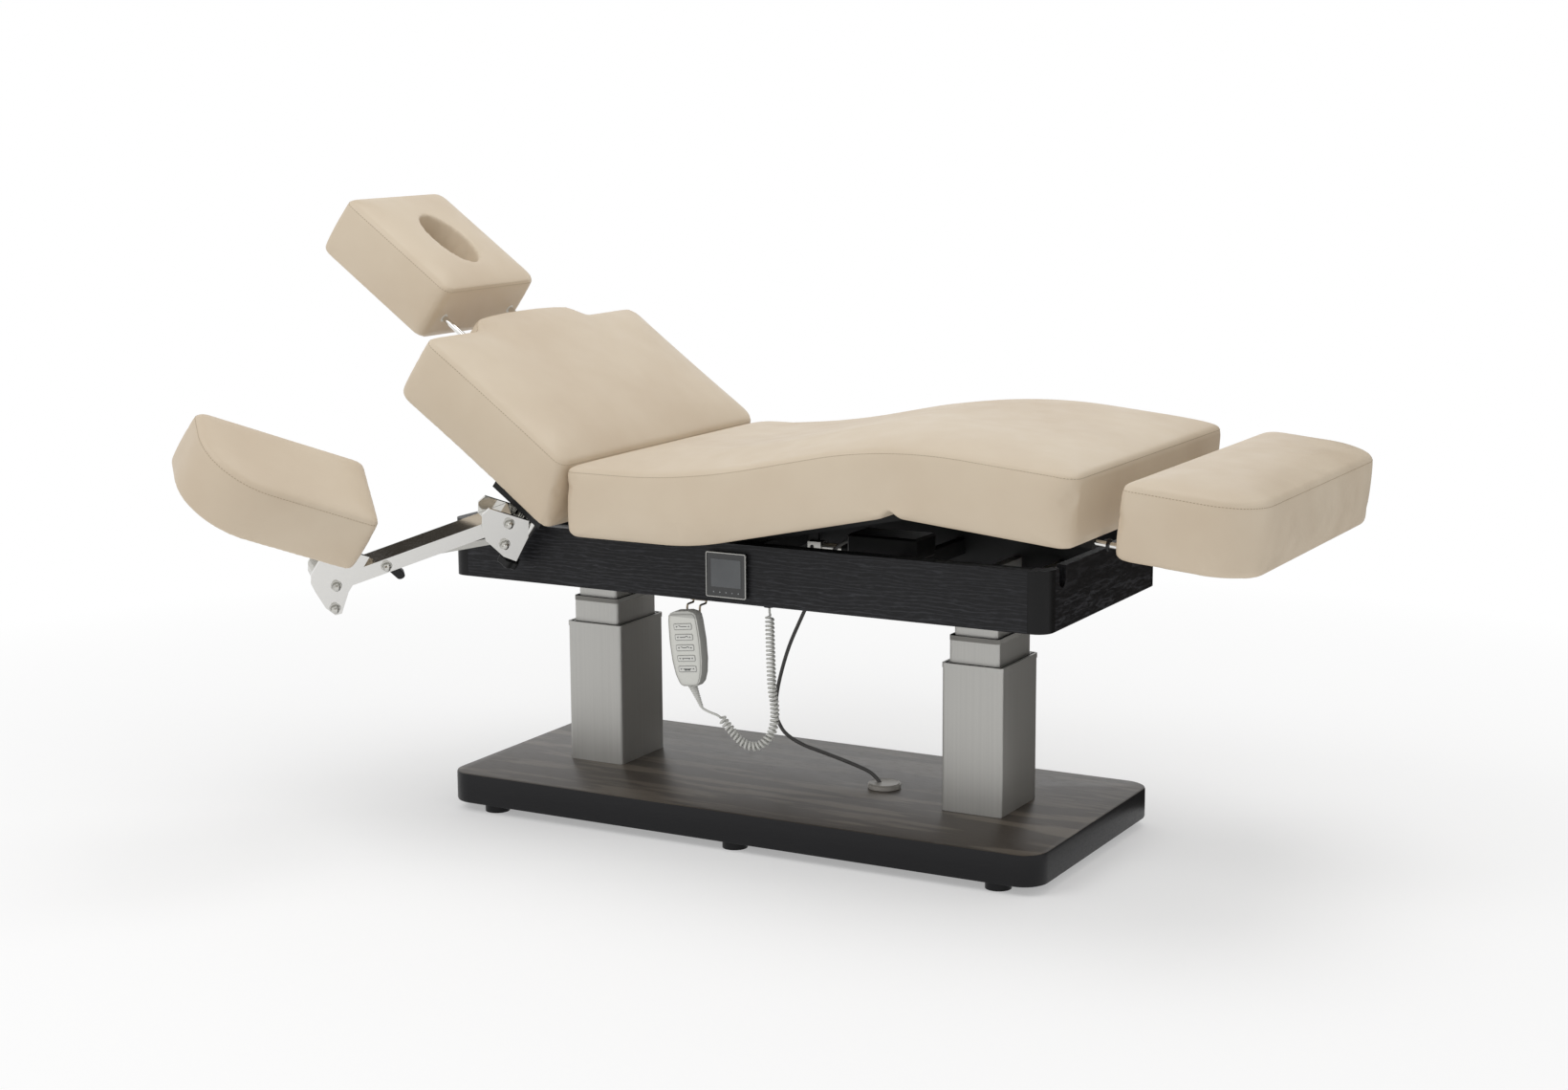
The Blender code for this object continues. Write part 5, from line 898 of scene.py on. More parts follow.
class Outline:
    """The plans of the covers, each in its own section's place."""

    @staticmethod
    def back() -> list[tuple[float, float]]:
        """The backrest, with the tongue that reaches towards the headrest."""
        foot, head, half, radius = -0.012, -0.445, MATTRESS_WIDTH / 2, 0.028
        points = arc((foot - radius, half - radius), radius, 0, math.pi / 2, 8)
        near, far = points[-1][0], head + radius
        for k in range(1, 8):
            share = k / 8
            points.append((near + (far - near) * share, half - 0.003 * (1 - (2 * share - 1) ** 2)))
        points += arc((head + radius, half - radius), radius, math.pi / 2, math.pi, 8)
        for k in range(13):
            share = k / 12
            blend = (1 - math.cos(math.pi * share)) / 2
            points.append((head - 0.038 * blend, 0.150 + 0.055 * (1 - share)))
        points += [(head - 0.0447, 0.105), (head - 0.0475, 0.060), (head - 0.0482, 0.0)]
        return points + [(x, -y) for x, y in reversed(points[:-1])]

    @staticmethod
    def pillow() -> list[tuple[float, float]]:
        """The face pillow."""
        return rounded_box(-0.881, -0.570, -0.1625, 0.1625, (0.022,) * 4)

    @staticmethod
    def mattress() -> list[tuple[float, float]]:
        """Seat, thigh and leg sections in one, developed along the path."""
        half = MATTRESS_WIDTH / 2
        end = -SEAT_HEAD + THIGH_LENGTH + LEG_LENGTH
        return rounded_box(0.0, end, -half, half, (0.028,) * 4)

    @staticmethod
    def bolster() -> list[tuple[float, float]]:
        """The foot bolster, rounder at its far end."""
        return rounded_box(0.426, 0.672, -0.376, 0.376, (0.090, 0.020, 0.020, 0.090), 10)

    @staticmethod
    def pad() -> list[tuple[float, float]]:
        """The arm rest's pad, with one big round corner."""
        return rounded_box(-0.373, -0.021, -0.102, 0.102, (0.018, 0.018, 0.130, 0.018), 12)


@dataclass(frozen=True)
class Block:
    """An upholstered block.

    Attributes:
        outline: its plan.
        low: the level of its underside.
        side: the height of its sides.
        crown: how far its top rises over them.
        head_lean: how far its head end leans, as a slope.
        foot_lean: how far its foot end leans, as a slope.
    """

    outline: Sequence[Point]
    low: float
    side: float
    crown: float
    head_lean: float = 0.0
    foot_lean: float = 0.0

    def rows(self) -> list[tuple[float, float]]:
        """Profile of (inset, height) from the underside's edge to the crown."""
        rows = [(0.010, BOARD_SHOWS), (0.0045, BOARD_SHOWS + 0.0015), (0.0015, 0.006), (0.0005, 0.012)]
        for share in (0.25, 0.45, 0.65, 0.85):
            rows.append((0.0006 - 0.0016 * math.sin(math.pi * share), self.side * share))
        rows.append((0.0008, self.side - 0.004))
        rows.append((0.0012, self.side))
        return rows

    def point(self, x: float, y: float, inset: float, height: float) -> tuple[float, float, float]:
        """A point of the plan moved in and up, and leant at the ends."""
        xs, ys = [p[0] for p in self.outline], [p[1] for p in self.outline]
        x0, x1, reach = min(xs), max(xs), max(ys)
        middle, half = (x0 + x1) / 2, (x1 - x0) / 2
        share = (x - x0) / (x1 - x0)
        lean = self.head_lean * (1 - share) + self.foot_lean * share
        moved = middle + (x - middle) * (1 - inset / half) + lean * height
        return (moved, y * (1 - inset / reach), self.low + height)

    def shape(self) -> bmesh.types.BMesh:
        """The closed block with its crowned top."""
        xs, ys = [p[0] for p in self.outline], [p[1] for p in self.outline]
        least = min((max(xs) - min(xs)) / 2, max(ys))
        rows = self.rows()
        for share in (0.012, 0.03, 0.06, 0.10, 0.16, 0.24, 0.34, 0.46, 0.62, 0.80, 0.92):
            rise = 1 - (1 - min(share / 0.66, 1.0)) ** 3.6
            rows.append((least * share, self.side + self.crown * rise))
        shape = bmesh.new()
        rings = [[shape.verts.new(self.point(x, y, *row)) for x, y in self.outline] for row in rows]
        bridge(shape, rings)
        shape.faces.new(list(reversed(rings[0])))
        shape.faces.new(rings[-1])
        return shape

    def seam(self, height: float, count: int = 400) -> list[Vector]:
        """A line round the block at a height, in its own place."""
        return resampled([self.point(x, y, 0.0, height) for x, y in self.outline], count, True)


def resampled(points: Sequence[Point], count: int, closed: bool) -> list[Vector]:
    """Evenly spaced points on a polyline; on a closed one, the first point isn't said again."""
    line = np.array([tuple(p) for p in points] + ([tuple(points[0])] if closed else []))
    lengths = np.concatenate([[0.0], np.cumsum(np.linalg.norm(np.diff(line, axis=0), axis=1))])
    goals = np.linspace(0.0, lengths[-1], count, endpoint=not closed)
    return [Vector(p) for p in np.stack([np.interp(goals, lengths, line[:, i]) for i in range(3)], 1)]


class FoldPath:
    """Bends the developed mattress along the seat, the thigh and the leg section."""

    LOW_REACH = (0.060, 0.030)
    TOP_REACH = (0.150, 0.150)
    NOTCH_DEPTH, NOTCH_REACH, NOTCH_HEIGHT = 0.016, 0.013, 0.060
    PINCHES = ((0.006, 0.0), (-0.0045, 0.020), (-0.0045, -0.020))
    PINCH_REACH, PINCH_HEIGHT = 0.010, 0.055

    def __init__(self, places: Places) -> None:
        """Takes the sections' places."""
        self.seat, self.thigh, self.leg = places.seat, places.thigh, places.leg
        self.marks = (0.0, -SEAT_HEAD, -SEAT_HEAD + THIGH_LENGTH, -SEAT_HEAD + THIGH_LENGTH + LEG_LENGTH)

    def corners(self, height: float) -> list[Vector]:
        """The path's corners at a height over the underside."""
        rise = height + HINGE_DROP
        found = [self.seat.at(SEAT_HEAD, 0, rise)]
        for origin, first, second in ((self.thigh.at(0, 0, 0), self.seat, self.thigh),
                                      (self.leg.at(0, 0, 0), self.thigh, self.leg)):
            up = (first.way(0, 0, 1) + second.way(0, 0, 1)).normalized()
            found.append(origin + up * (rise / up.dot(first.way(0, 0, 1))))
        return found + [self.leg.at(LEG_LENGTH, 0, rise)]

    def along(self, s: float, corners: Sequence[Vector]) -> Vector:
        """A point on the plain path."""
        marks = self.marks
        i = 0 if s < marks[1] else 1 if s < marks[2] else 2
        share = (s - marks[i]) / (marks[i + 1] - marks[i])
        return corners[i].lerp(corners[i + 1], share)

    def centre(self, s: float, height: float) -> Vector:
        """A point on the smooth path at a height."""
        corners = self.corners(height)
        share = min(max(height / SIDE, 0.0), 1.3)
        for i in (1, 2):
            mark = self.marks[i]
            reach = self.LOW_REACH[i - 1] + (self.TOP_REACH[i - 1] - self.LOW_REACH[i - 1]) * min(share, 1.0)
            if abs(s - mark) < reach:
                t = (s - mark + reach) / (2 * reach)
                a, b, c = self.along(mark - reach, corners), corners[i], self.along(mark + reach, corners)
                return a * (1 - t) ** 2 + b * (2 * t * (1 - t)) + c * t**2
        return self.along(s, corners)

    def bend(self, point: Point) -> Vector:
        """Moves a developed point onto the folded mattress."""
        s, y, height = point
        knee = self.marks[2]
        height += self.relief(s - knee, height)
        made = self.centre(s, height)
        made.y += y * self.pull(s - knee, height)
        return made

    def relief(self, past: float, height: float) -> float:
        """How far the underside draws up into the knee's notch, by the way past the knee."""
        low = max(0.0, 1 - height / self.NOTCH_HEIGHT)
        return self.NOTCH_DEPTH * math.exp(-((past / self.NOTCH_REACH) ** 2)) * low**2

    def pull(self, past: float, height: float) -> float:
        """A share that draws the cover's sides in at the knee's pinch and out beside it."""
        low = max(0.0, 1 - height / self.PINCH_HEIGHT)
        pinch = 0.0
        for depth, centre in self.PINCHES:
            pinch += depth * math.exp(-(((past - centre) / self.PINCH_REACH) ** 2)) * low
        return 1 - pinch


class CoverMaker:
    """Makes one sewn cover from a block: remeshed, blown up, grooved along its seams and subdivided."""

    def __init__(self, finishes: Finishes) -> None:
        """Keeps the finishes and makes the stitch."""
        self.finishes = finishes
        half, radius = STITCH_LENGTH / 2, STITCH_RADIUS
        profile = [(0.0, -half), (radius * 0.75, -half * 0.82), (radius, -half * 0.5), (radius, half * 0.5),
                   (radius * 0.75, half * 0.82), (0.0, half)]
        shape = turned(profile, (0, 0, 0), (0, 0, 1), 6)
        self.stitch = to_object("stitch_item", shape, None, finishes.thread)
        self.stitch.hide_render = True

    def remesh(self, made: bpy.types.Object, voxel: float) -> None:
        """Gives the block an even mesh."""
        modifier = made.modifiers.new("even", "REMESH")
        modifier.mode = "VOXEL"
        modifier.voxel_size = voxel
        smooth = made.modifiers.new("smooth", "SMOOTH")
        smooth.iterations = 5
        smooth.factor = 0.5
        settle(made)

    @staticmethod
    def hold(height: float, seam_height: float) -> float:
        """How firmly a point is held at a height: fully where it is stapled, and partly along the seam."""
        if height < STAPLED_HEIGHT:
            return 1.0
        if height <= seam_height - SEAM_BAND:
            return 0.0
        return SEAM_HOLD * math.exp(-(((height - seam_height) / SEAM_REACH) ** 2))

    def inflate(self, made: bpy.types.Object, cap: float, held: Callable[[Vector], float]) -> None:
        """Blows the cover up with Blender's Cloth, holds what is stapled or sewn, and caps each move.

        Args:
            made: the cover.
            cap: the most that a point may move.
            held: how firmly a point is held, from 0 to 1, by its place.
        """
        start = np.array([v.co for v in made.data.vertices])
        group = made.vertex_groups.new(name="held")
        for index, co in enumerate(start):
            weight = held(Vector(co))
            if weight > 0.01:
                group.add([index], weight, "REPLACE")
        cloth = made.modifiers.new("cloth", "CLOTH")
        settings = cloth.settings
        for key, value in CLOTH.items():
            setattr(settings, key, value)
        settings.vertex_group_mass = group.name
        settings.effector_weights.gravity = 0.0
        cloth.point_cache.frame_start, cloth.point_cache.frame_end = 1, CLOTH_FRAMES
        scene = bpy.context.scene
        for frame in range(1, CLOTH_FRAMES + 1):
            scene.frame_set(frame)
        blown = made.evaluated_get(bpy.context.evaluated_depsgraph_get())
        end = np.array([v.co for v in blown.data.vertices])
        made.modifiers.clear()
        made.vertex_groups.clear()
        scene.frame_set(1)
        move = end - start
        size = np.linalg.norm(move, axis=1, keepdims=True)
        size[size == 0] = 1.0
        move *= np.minimum(size, cap) / size
        made.data.vertices.foreach_set("co", (start + move).ravel())
        made.data.update()

    def groove(self, made: bpy.types.Object, seam: Sequence[Vector]) -> None:
        """Draws the cover in along its seam."""
        tree = KDTree(len(seam))
        for index, point in enumerate(seam):
            tree.insert(point, index)
        tree.balance()
        moves = []
        for vertex in made.data.vertices:
            share = math.exp(-((tree.find(vertex.co)[2] / GROOVE_REACH) ** 2))
            moves.append(vertex.normal * (-GROOVE_DEPTH * share))
        for vertex, move in zip(made.data.vertices, moves):
            vertex.co += move

    def finish(self, made: bpy.types.Object) -> None:
        """Adds the last subdivision."""
        subdivide = made.modifiers.new("fine", "SUBSURF")
        subdivide.levels = subdivide.render_levels = 1
        settle(made)
        made.data.shade_smooth()
        made.data.materials.clear()
        made.data.materials.append(self.finishes.leather)

    @staticmethod
    def press(made: bpy.types.Object, place: Place, limits: tuple[float, float]) -> None:
        """Keeps the cover's ends flat where a sliding cushion comes up to them."""
        there, back = place.matrix, place.matrix.inverted()
        for vertex in made.data.vertices:
            local = back @ vertex.co
            held = min(max(local.x, limits[0]), limits[1])
            if held != local.x:
                vertex.co = there @ Vector((held, local.y, local.z))

    def make(self, name: str, made: bpy.types.Object, cap: float, held: Callable[[Vector], float],
             seam: Sequence[Vector], lower: Sequence[Vector], place: Place,
             limits: tuple[float, float]) -> bpy.types.Object:
        """Fills out, grooves and sews a remeshed block.

        Args:
            name: the name of its row of stitches.
            made: the block.
            cap: the most that the filling moves a point.
            held: how firmly a point is held, from 0 to 1, by its place.
            seam: the seam's line.
            lower: the line of the stitches.
            place: the place whose X axis the limits are on.
            limits: the ends that the filling may not bulge past.

        Returns:
            The stitches.
        """
        self.inflate(made, cap, held)
        self.groove(made, self.snapped(made, seam, 0.0))
        self.finish(made)
        self.press(made, place, limits)
        return self.sew(name, made, lower)

    @staticmethod
    def snapped(made: bpy.types.Object, line: Sequence[Vector], lift: float) -> list[Vector]:
        """A line laid on the cover's surface."""
        tree = BVHTree.FromObject(made, bpy.context.evaluated_depsgraph_get())
        laid = []
        for point in line:
            place, normal, _, _ = tree.find_nearest(point)
            laid.append(place + normal * lift)
        return laid

    def sew(self, name: str, made: bpy.types.Object, line: Sequence[Vector]) -> bpy.types.Object:
        """A row of stitches along a closed line on the cover."""
        laid = self.snapped(made, line, STITCH_RADIUS * 0.35)
        return walk(name, laid, self.stitch, STITCH_PITCH, self.finishes.thread)


def ring(outer: Sequence[Point], inner: Sequence[Point], low: float, high: float,
         axis: str = "z") -> bmesh.types.BMesh:
    """A flat band between two outlines of equal count."""
    shape = bmesh.new()
    loops = [[shape.verts.new(upright(axis, x, y, level)) for x, y in outline]
             for outline, level in ((outer, low), (outer, high), (inner, high), (inner, low))]
    bridge(shape, loops + loops[:1])
    return shape


def soften(made: bpy.types.Object, tree: bpy.types.NodeTree) -> None:
    """Shades a CAD node smoothly between its sharp edges, its mesh left alone."""
    made.modifiers.new("soft_shade", "NODES").node_group = tree


def soft_shade_tree(angle: float) -> bpy.types.NodeTree:
    """Geometry Nodes that shade every face smooth and keep edges over an angle sharp."""
    steps = StepTree("soft_shade")
    merge = steps.node("GeometryNodeMergeByDistance", {"Distance": 0.000002})
    faces = steps.node("GeometryNodeSetShadeSmooth", domain="FACE")
    edges = steps.node("GeometryNodeSetShadeSmooth", domain="EDGE")
    between = steps.node("GeometryNodeInputMeshEdgeAngle")
    sharp = steps.node("FunctionNodeCompare", operation="LESS_THAN")
    sharp.inputs[1].default_value = math.radians(angle)
    steps.wire(
        (steps.start.outputs[0], merge.inputs["Geometry"]), (merge.outputs[0], faces.inputs["Geometry"]),
        (faces.outputs[0], edges.inputs["Geometry"]), (between.outputs[0], sharp.inputs[0]),
        (sharp.outputs[0], edges.inputs["Shade Smooth"]), (edges.outputs[0], steps.end.inputs[0]),
    )
    return steps.tree


class Fittings:
    """The small metal and plastic fittings that the CAD model leaves plain.

    The turned profiles are (radius, height) in millimetres.
    """

    WASHER = ((8.4, 0), (8.4, 1.1), (7.9, 1.5), (3.0, 1.5))
    HEXAGON = ((6.3, 1.4), (6.7, 1.9), (6.7, 5.2), (5.6, 6.2), (2.0, 6.2))
    DOME = ((5.4, 5.6), (5.4, 6.4), (5.0, 8.2), (3.9, 9.8), (2.1, 10.8), (0.0, 11.1))
    BOLT_SIZE = 1.32
    POST_WASHER = ((0.0095, 0.0), (0.0148, 0.0), (0.0152, 0.3), (0.0152, 0.7), (0.0148, 1.0), (0.0095, 1.0))
    KNOB_CAP = ((10.5, -0.6), (10.5, 0.6), (9.2, 1.6), (5.5, 2.2), (0.0, 2.4))
    KEY_DOT = ((1.3, 0.0), (1.3, 0.9), (1.1, 1.1))
    GROMMET_LIP = ((27.0, -0.4), (29.2, 0.2), (30.2, 1.1), (29.4, 1.8), (27.2, 0.8))
    GROMMET_BORE = ((12.8, -2.0), (12.8, -12.5), (0.0, -12.5))
    BUSHING = ((6.2, 0.0), (11.8, 0.0), (11.8, 2.2), (10.0, 4.0), (6.6, 4.3))
    RELIEF_RADII = (0.0092, 0.0034)
    RELIEF_RIBS = 11
    RELIEF_STEPS = 66

    def __init__(self, places: Places, finishes: Finishes) -> None:
        """Takes the local frames and the finishes."""
        self.places, self.finishes = places, finishes

    def add(self, name: str, shape: bmesh.types.BMesh, place: Place | None, material: bpy.types.Material,
            body: str, slot: str, angle: float = 35.0) -> bpy.types.Object:
        """Makes a fitting that rides on a body."""
        made = to_object(name, shape, place, material, angle=angle)
        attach(made, body)
        return made

    def bolt(self, shape: bmesh.types.BMesh, origin: Point, way: Point) -> None:
        """An acorn bolt on its washer: washer, hexagon and dome."""
        for profile, sides in ((self.WASHER, 24), (self.HEXAGON, 6), (self.DOME, 20)):
            turned(profile, origin, way, sides, shape, MM * self.BOLT_SIZE)

    def arm_bolts(self) -> None:
        """Acorn bolts at the arm's pivots and at the release lever."""
        for name, place, spots, half, body in (
            ("bracket_bolts", self.places.arm, ((-0.055, -0.0425), (-0.039, -0.0905)), 0.0222, "arm_swivel"),
            ("carrier_bolts", self.places.carrier, ((0.0, 0.0), (0.022, -0.051)), 0.0222, "pad_carrier"),
            ("lever_bolts", self.places.bar, ((LEVER_X, 0.0),), 0.0176, "arm"),
        ):
            shape = bmesh.new()
            for x, z in spots:
                for side in (-1, 1):
                    self.bolt(shape, (x, side * half, z), (0, side, 0))
            self.add(name, shape, place, self.finishes.zinc, body, "zinc_plate")

    def arm_trim(self) -> None:
        """The washers of the arm's post and the star knob's cap."""
        arm = self.places.arm
        shape = bmesh.new()
        for level, height in ((-0.0236, 0.0016), (-0.1247, 0.0020)):
            profile = [(radius, level + height * share) for radius, share in self.POST_WASHER]
            turned(profile, (0, 0, 0), (0, 0, 1), 32, shape)
        self.add("post_washers", shape, arm, self.finishes.chrome, "arm_swivel", "bright_chrome")
        low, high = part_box("star_knob")
        centre = (low + high) / 2
        down = arm.way(0, 0, -1)
        cap = turned(self.KNOB_CAP, centre + down * 0.0082, down, 28, scale=MM)
        self.add("knob_cap", cap, None, self.finishes.black, "knob", "black_plastic")

    def lever(self) -> None:
        """The release lever's capsule-shaped tab on its hub."""
        half = 0.0085
        capsule = rounded_box(-half, half, -0.0560, 0.0070, (0.0084,) * 4, 10)
        shape = prism(capsule, -half, half, "y", 0.0018)
        pivot, side = self.places.bar.at(LEVER_X, 0, 0), self.places.bar.way(0, 1, 0)
        down = (axis_of("release_lever")[1] - pivot).normalized()
        place = Place.of(pivot, down.cross(side), side)
        made = self.add("release_tab", shape, place, self.finishes.black, "lever", "black_plastic")
        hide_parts("release_lever")

    def columns(self) -> None:
        """The columns' glide collars: a grey band and a black ring on the middle tube, and painted shade in the
        outer's gap.
        """
        def band(part: tuple[Vector, Vector], size: Point, grow: Point, levels: Point) -> bmesh.types.BMesh:
            cx, cy = (part[0].x + part[1].x) / 2, (part[0].y + part[1].y) / 2
            outlines = []
            for step in grow:
                hx, hy = size[0] / 2 + step, size[1] / 2 + step
                corners = rounded_box(-hx, hx, -hy, hy, (COLUMN_RADIUS + step,) * 4, 6)
                outlines.append([(cx + px, cy + py) for px, py in corners])
            return ring(*outlines, part[1].z + levels[0], part[1].z + levels[1])

        grey, black = self.finishes.collar, self.finishes.rubber
        for label in ("head", "foot"):
            outer, middle = (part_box(f"{label}_column_{part}") for part in ("outer", "middle"))
            for name, shape, material, body, slot in (
                ("middle_collar", band(middle, COLUMN_MIDDLE, (0.0004, -0.0010), (-0.0085, 0.0008)), grey,
                 "lift_middle", "silver_anodised"),
                ("middle_wiper", band(middle, COLUMN_MIDDLE, (-0.0012, -0.0062), (-0.002, 0.0004)), black,
                 "lift_middle", "black_plastic"),
                # a black ring in the gap at the top of the outer tube: painted shade where the middle tube goes
                # in
                ("outer_wiper", band(outer, COLUMN_OUTER, (-0.0045, -0.0074), (-0.002, 0.0003)), black,
                 "base", "black_plastic"),
            ):
                self.add(f"{label}_{name}", shape, None, material, body, slot)

    def panel(self) -> None:
        """The touch panel's silver rim, its screen and five plain key dots."""
        low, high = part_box("touch_panel")
        x, z, face = (low.x + high.x) / 2, (low.z + high.z) / 2, low.y
        half = (high.x - low.x) / 2

        def plate(hx: float, hz: float, radius: float, cx: float = 0.0, cz: float = 0.0) -> list:
            return [(x + cx + px, z + cz + pz) for px, pz in rounded_box(-hx, hx, -hz, hz, (radius,) * 4, 5)]

        rim = ring(plate(half + 0.0004, half + 0.0004, 0.0034), plate(half - 0.0012, half - 0.0012, 0.0022),
                   face - 0.0006, face + 0.0030, "y")
        self.add("panel_rim", rim, None, self.finishes.silver, "frame", "silver_anodised")
        screen = prism(plate(0.0325, 0.0270, 0.0012, 0.0, 0.0035), face + 0.0002, face + 0.0012, "y", 0.0)
        self.add("panel_display", screen, None, self.finishes.screen, "frame", "black_plastic")
        dots = bmesh.new()
        for step in range(5):
            centre = (x + (step - 2) * 0.0135, face + 0.0012, z - 0.0335)
            turned(self.KEY_DOT, centre, (0, -1, 0), 14, dots, MM)
        self.add("panel_key_dots", dots, None, self.finishes.mark, "frame", "pale_plastic")

    def handset(self) -> None:
        """The handset's shadow line, its keys' prints and the ribs of its strain relief."""
        keys = [bpy.data.objects[f"handset_key_{i}"] for i in range(1, 6)]
        centres = []
        for key in keys:
            points = [key.matrix_world @ v.co for v in key.data.vertices]
            low = [min(p[i] for p in points) for i in range(3)]
            high = [max(p[i] for p in points) for i in range(3)]
            centres.append(Vector(((low[0] + high[0]) / 2, low[1], (low[2] + high[2]) / 2)))
        up = (centres[0] - centres[4]).normalized()
        right = Vector((0, 1, 0)).cross(up).normalized()
        right *= -1 if right.x < 0 else 1
        for index, (key, centre) in enumerate(zip(keys, centres)):
            shape = bmesh.new()

            def at(a: float, b: float) -> Vector:
                return centre + right * a + up * b

            rim = rounded_box(-0.0192, 0.0192, -0.0053, 0.0053, (0.0018,) * 4, 4)
            sweep([at(a, b) for a, b in rim], 0.00030, 6, True, shape=shape)
            for line in self.pictogram(index):
                sweep([at(a, b) for a, b in line], 0.00062, 6, shape=shape)
            self.add(f"key_{index + 1}_print", shape, None, self.finishes.pictogram, f"key_{index + 1}",
                     "key_grey_plastic", 60)
        shares = ((0.025, 0.74), (0.06, 0.88), (0.14, 0.94), (0.40, 1.0), (0.66, 0.96), (0.84, 0.84),
                  (0.95, 0.66), (1.0, 0.44))
        top = centres[0] + up * 0.030
        side = [(0.0316 * wide, -0.1405 * down - 0.003) for down, wide in shares]
        side += [(-a, b) for a, b in reversed(side)]
        loop = smooth_loop([top + right * a + up * b for a, b in side], 120)
        # a tube of darker grey round the face: painted shade of the shadow line's groove
        self.add("handset_shadow_line", sweep(loop, 0.00045, 6, True), None, self.finishes.edge, "handset",
                 "pale_grey_plastic", 60)
        start, tip = axis_of("handset_strain_relief")
        ahead = (tip - start).normalized()
        length = (tip - start).length
        profile = [(0.0, 0.0)]
        wide, narrow = self.RELIEF_RADII
        for step in range(self.RELIEF_STEPS + 1):
            share = step / self.RELIEF_STEPS
            radius = wide + (narrow - wide) * min(1.0, share * 1.05) ** 0.8
            rib = 0.0007 * math.cos(2 * math.pi * self.RELIEF_RIBS * share) if 0.08 < share < 0.95 else 0.0
            profile.append((radius + rib, share * length))
        shape = turned(profile, start, ahead, 24)
        made = self.add("strain_relief", shape, None, self.finishes.cord, "handset", "pale_cord_plastic", 70)
        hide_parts("handset_strain_relief")

    @staticmethod
    def pictogram(index: int) -> list[list[tuple[float, float]]]:
        """Strokes of a plain bed outline with its arrows, for one key."""
        lying = [(-0.009, 0.0), (0.009, 0.0)]
        arrows = [[(-0.0150, 0.0012), (-0.0135, -0.0010), (-0.0120, 0.0012)],
                  [(0.0120, -0.0012), (0.0135, 0.0010), (0.0150, -0.0012)]]
        shapes = (
            [[(-0.009, 0.0022), (-0.004, 0.0), (0.009, 0.0)]],
            [[(-0.009, 0.0), (0.002, 0.0), (0.006, 0.0020), (0.0095, 0.0)]],
            [[(-0.009, 0.0022), (-0.004, 0.0), (0.002, 0.0), (0.0055, 0.0020), (0.0095, 0.0)]],
            [lying, [(-0.007, -0.0022), (-0.007, 0.0)], [(0.007, -0.0022), (0.007, 0.0)]],
            [lying, [(-0.006, -0.0028), (0.006, -0.0014)], [(-0.006, -0.0014), (0.006, -0.0028)]],
        )
        return shapes[index] + arrows

    def grommet(self) -> None:
        """The grommet's raised ring, and a black cup of painted shade inside the bore that the cable goes into.
        """
        low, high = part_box("cable_grommet")
        centre = Vector(((low.x + high.x) / 2, (low.y + high.y) / 2, high.z))
        lip = turned(self.GROMMET_LIP, centre, (0, 0, 1), 48, scale=MM)
        self.add("grommet_lip", lip, None, self.finishes.grommet, "base", "pale_plastic")
        # black cup in the grommet's bore: painted shade of the dark inside of the hole
        hole = turned(self.GROMMET_BORE, centre - Vector((0.008, 0, 0)), (0, 0, 1), 36, scale=MM)
        self.add("grommet_bore", hole, None, self.finishes.rubber, "base", "black_plastic")

    def rods(self) -> None:
        """White bushings where the headrest's rods enter their cushions, and black ones at the leg."""
        back, leg, white, black = self.places.back, self.places.leg, self.finishes.white, self.finishes.black
        high, low = (HEADREST_ROD_Y, ROD_HEIGHT), (BOLSTER_ROD_Y, -0.0020)
        for name, place, x, (half, z), way, finish, body, slot in (
            ("pillow_bushings", back, -0.5742, high, 1, white, "headrest", "pale_plastic"),
            ("back_bushings", back, -0.4886, high, -1, white, "backrest", "pale_plastic"),
            ("leg_bushings", leg, 0.3535, low, 1, black, "leg", "black_plastic"),
        ):
            shape = bmesh.new()
            for y in (-half, half):
                turned(self.BUSHING, (x, y, z), (way, 0, 0), 28, shape, MM)
            self.add(name, shape, place, finish, body, slot)

    def build(self) -> None:
        """Makes every fitting."""
        self.arm_bolts()
        self.arm_trim()
        self.lever()
        self.columns()
        self.panel()
        self.handset()
        self.grommet()
        self.rods()


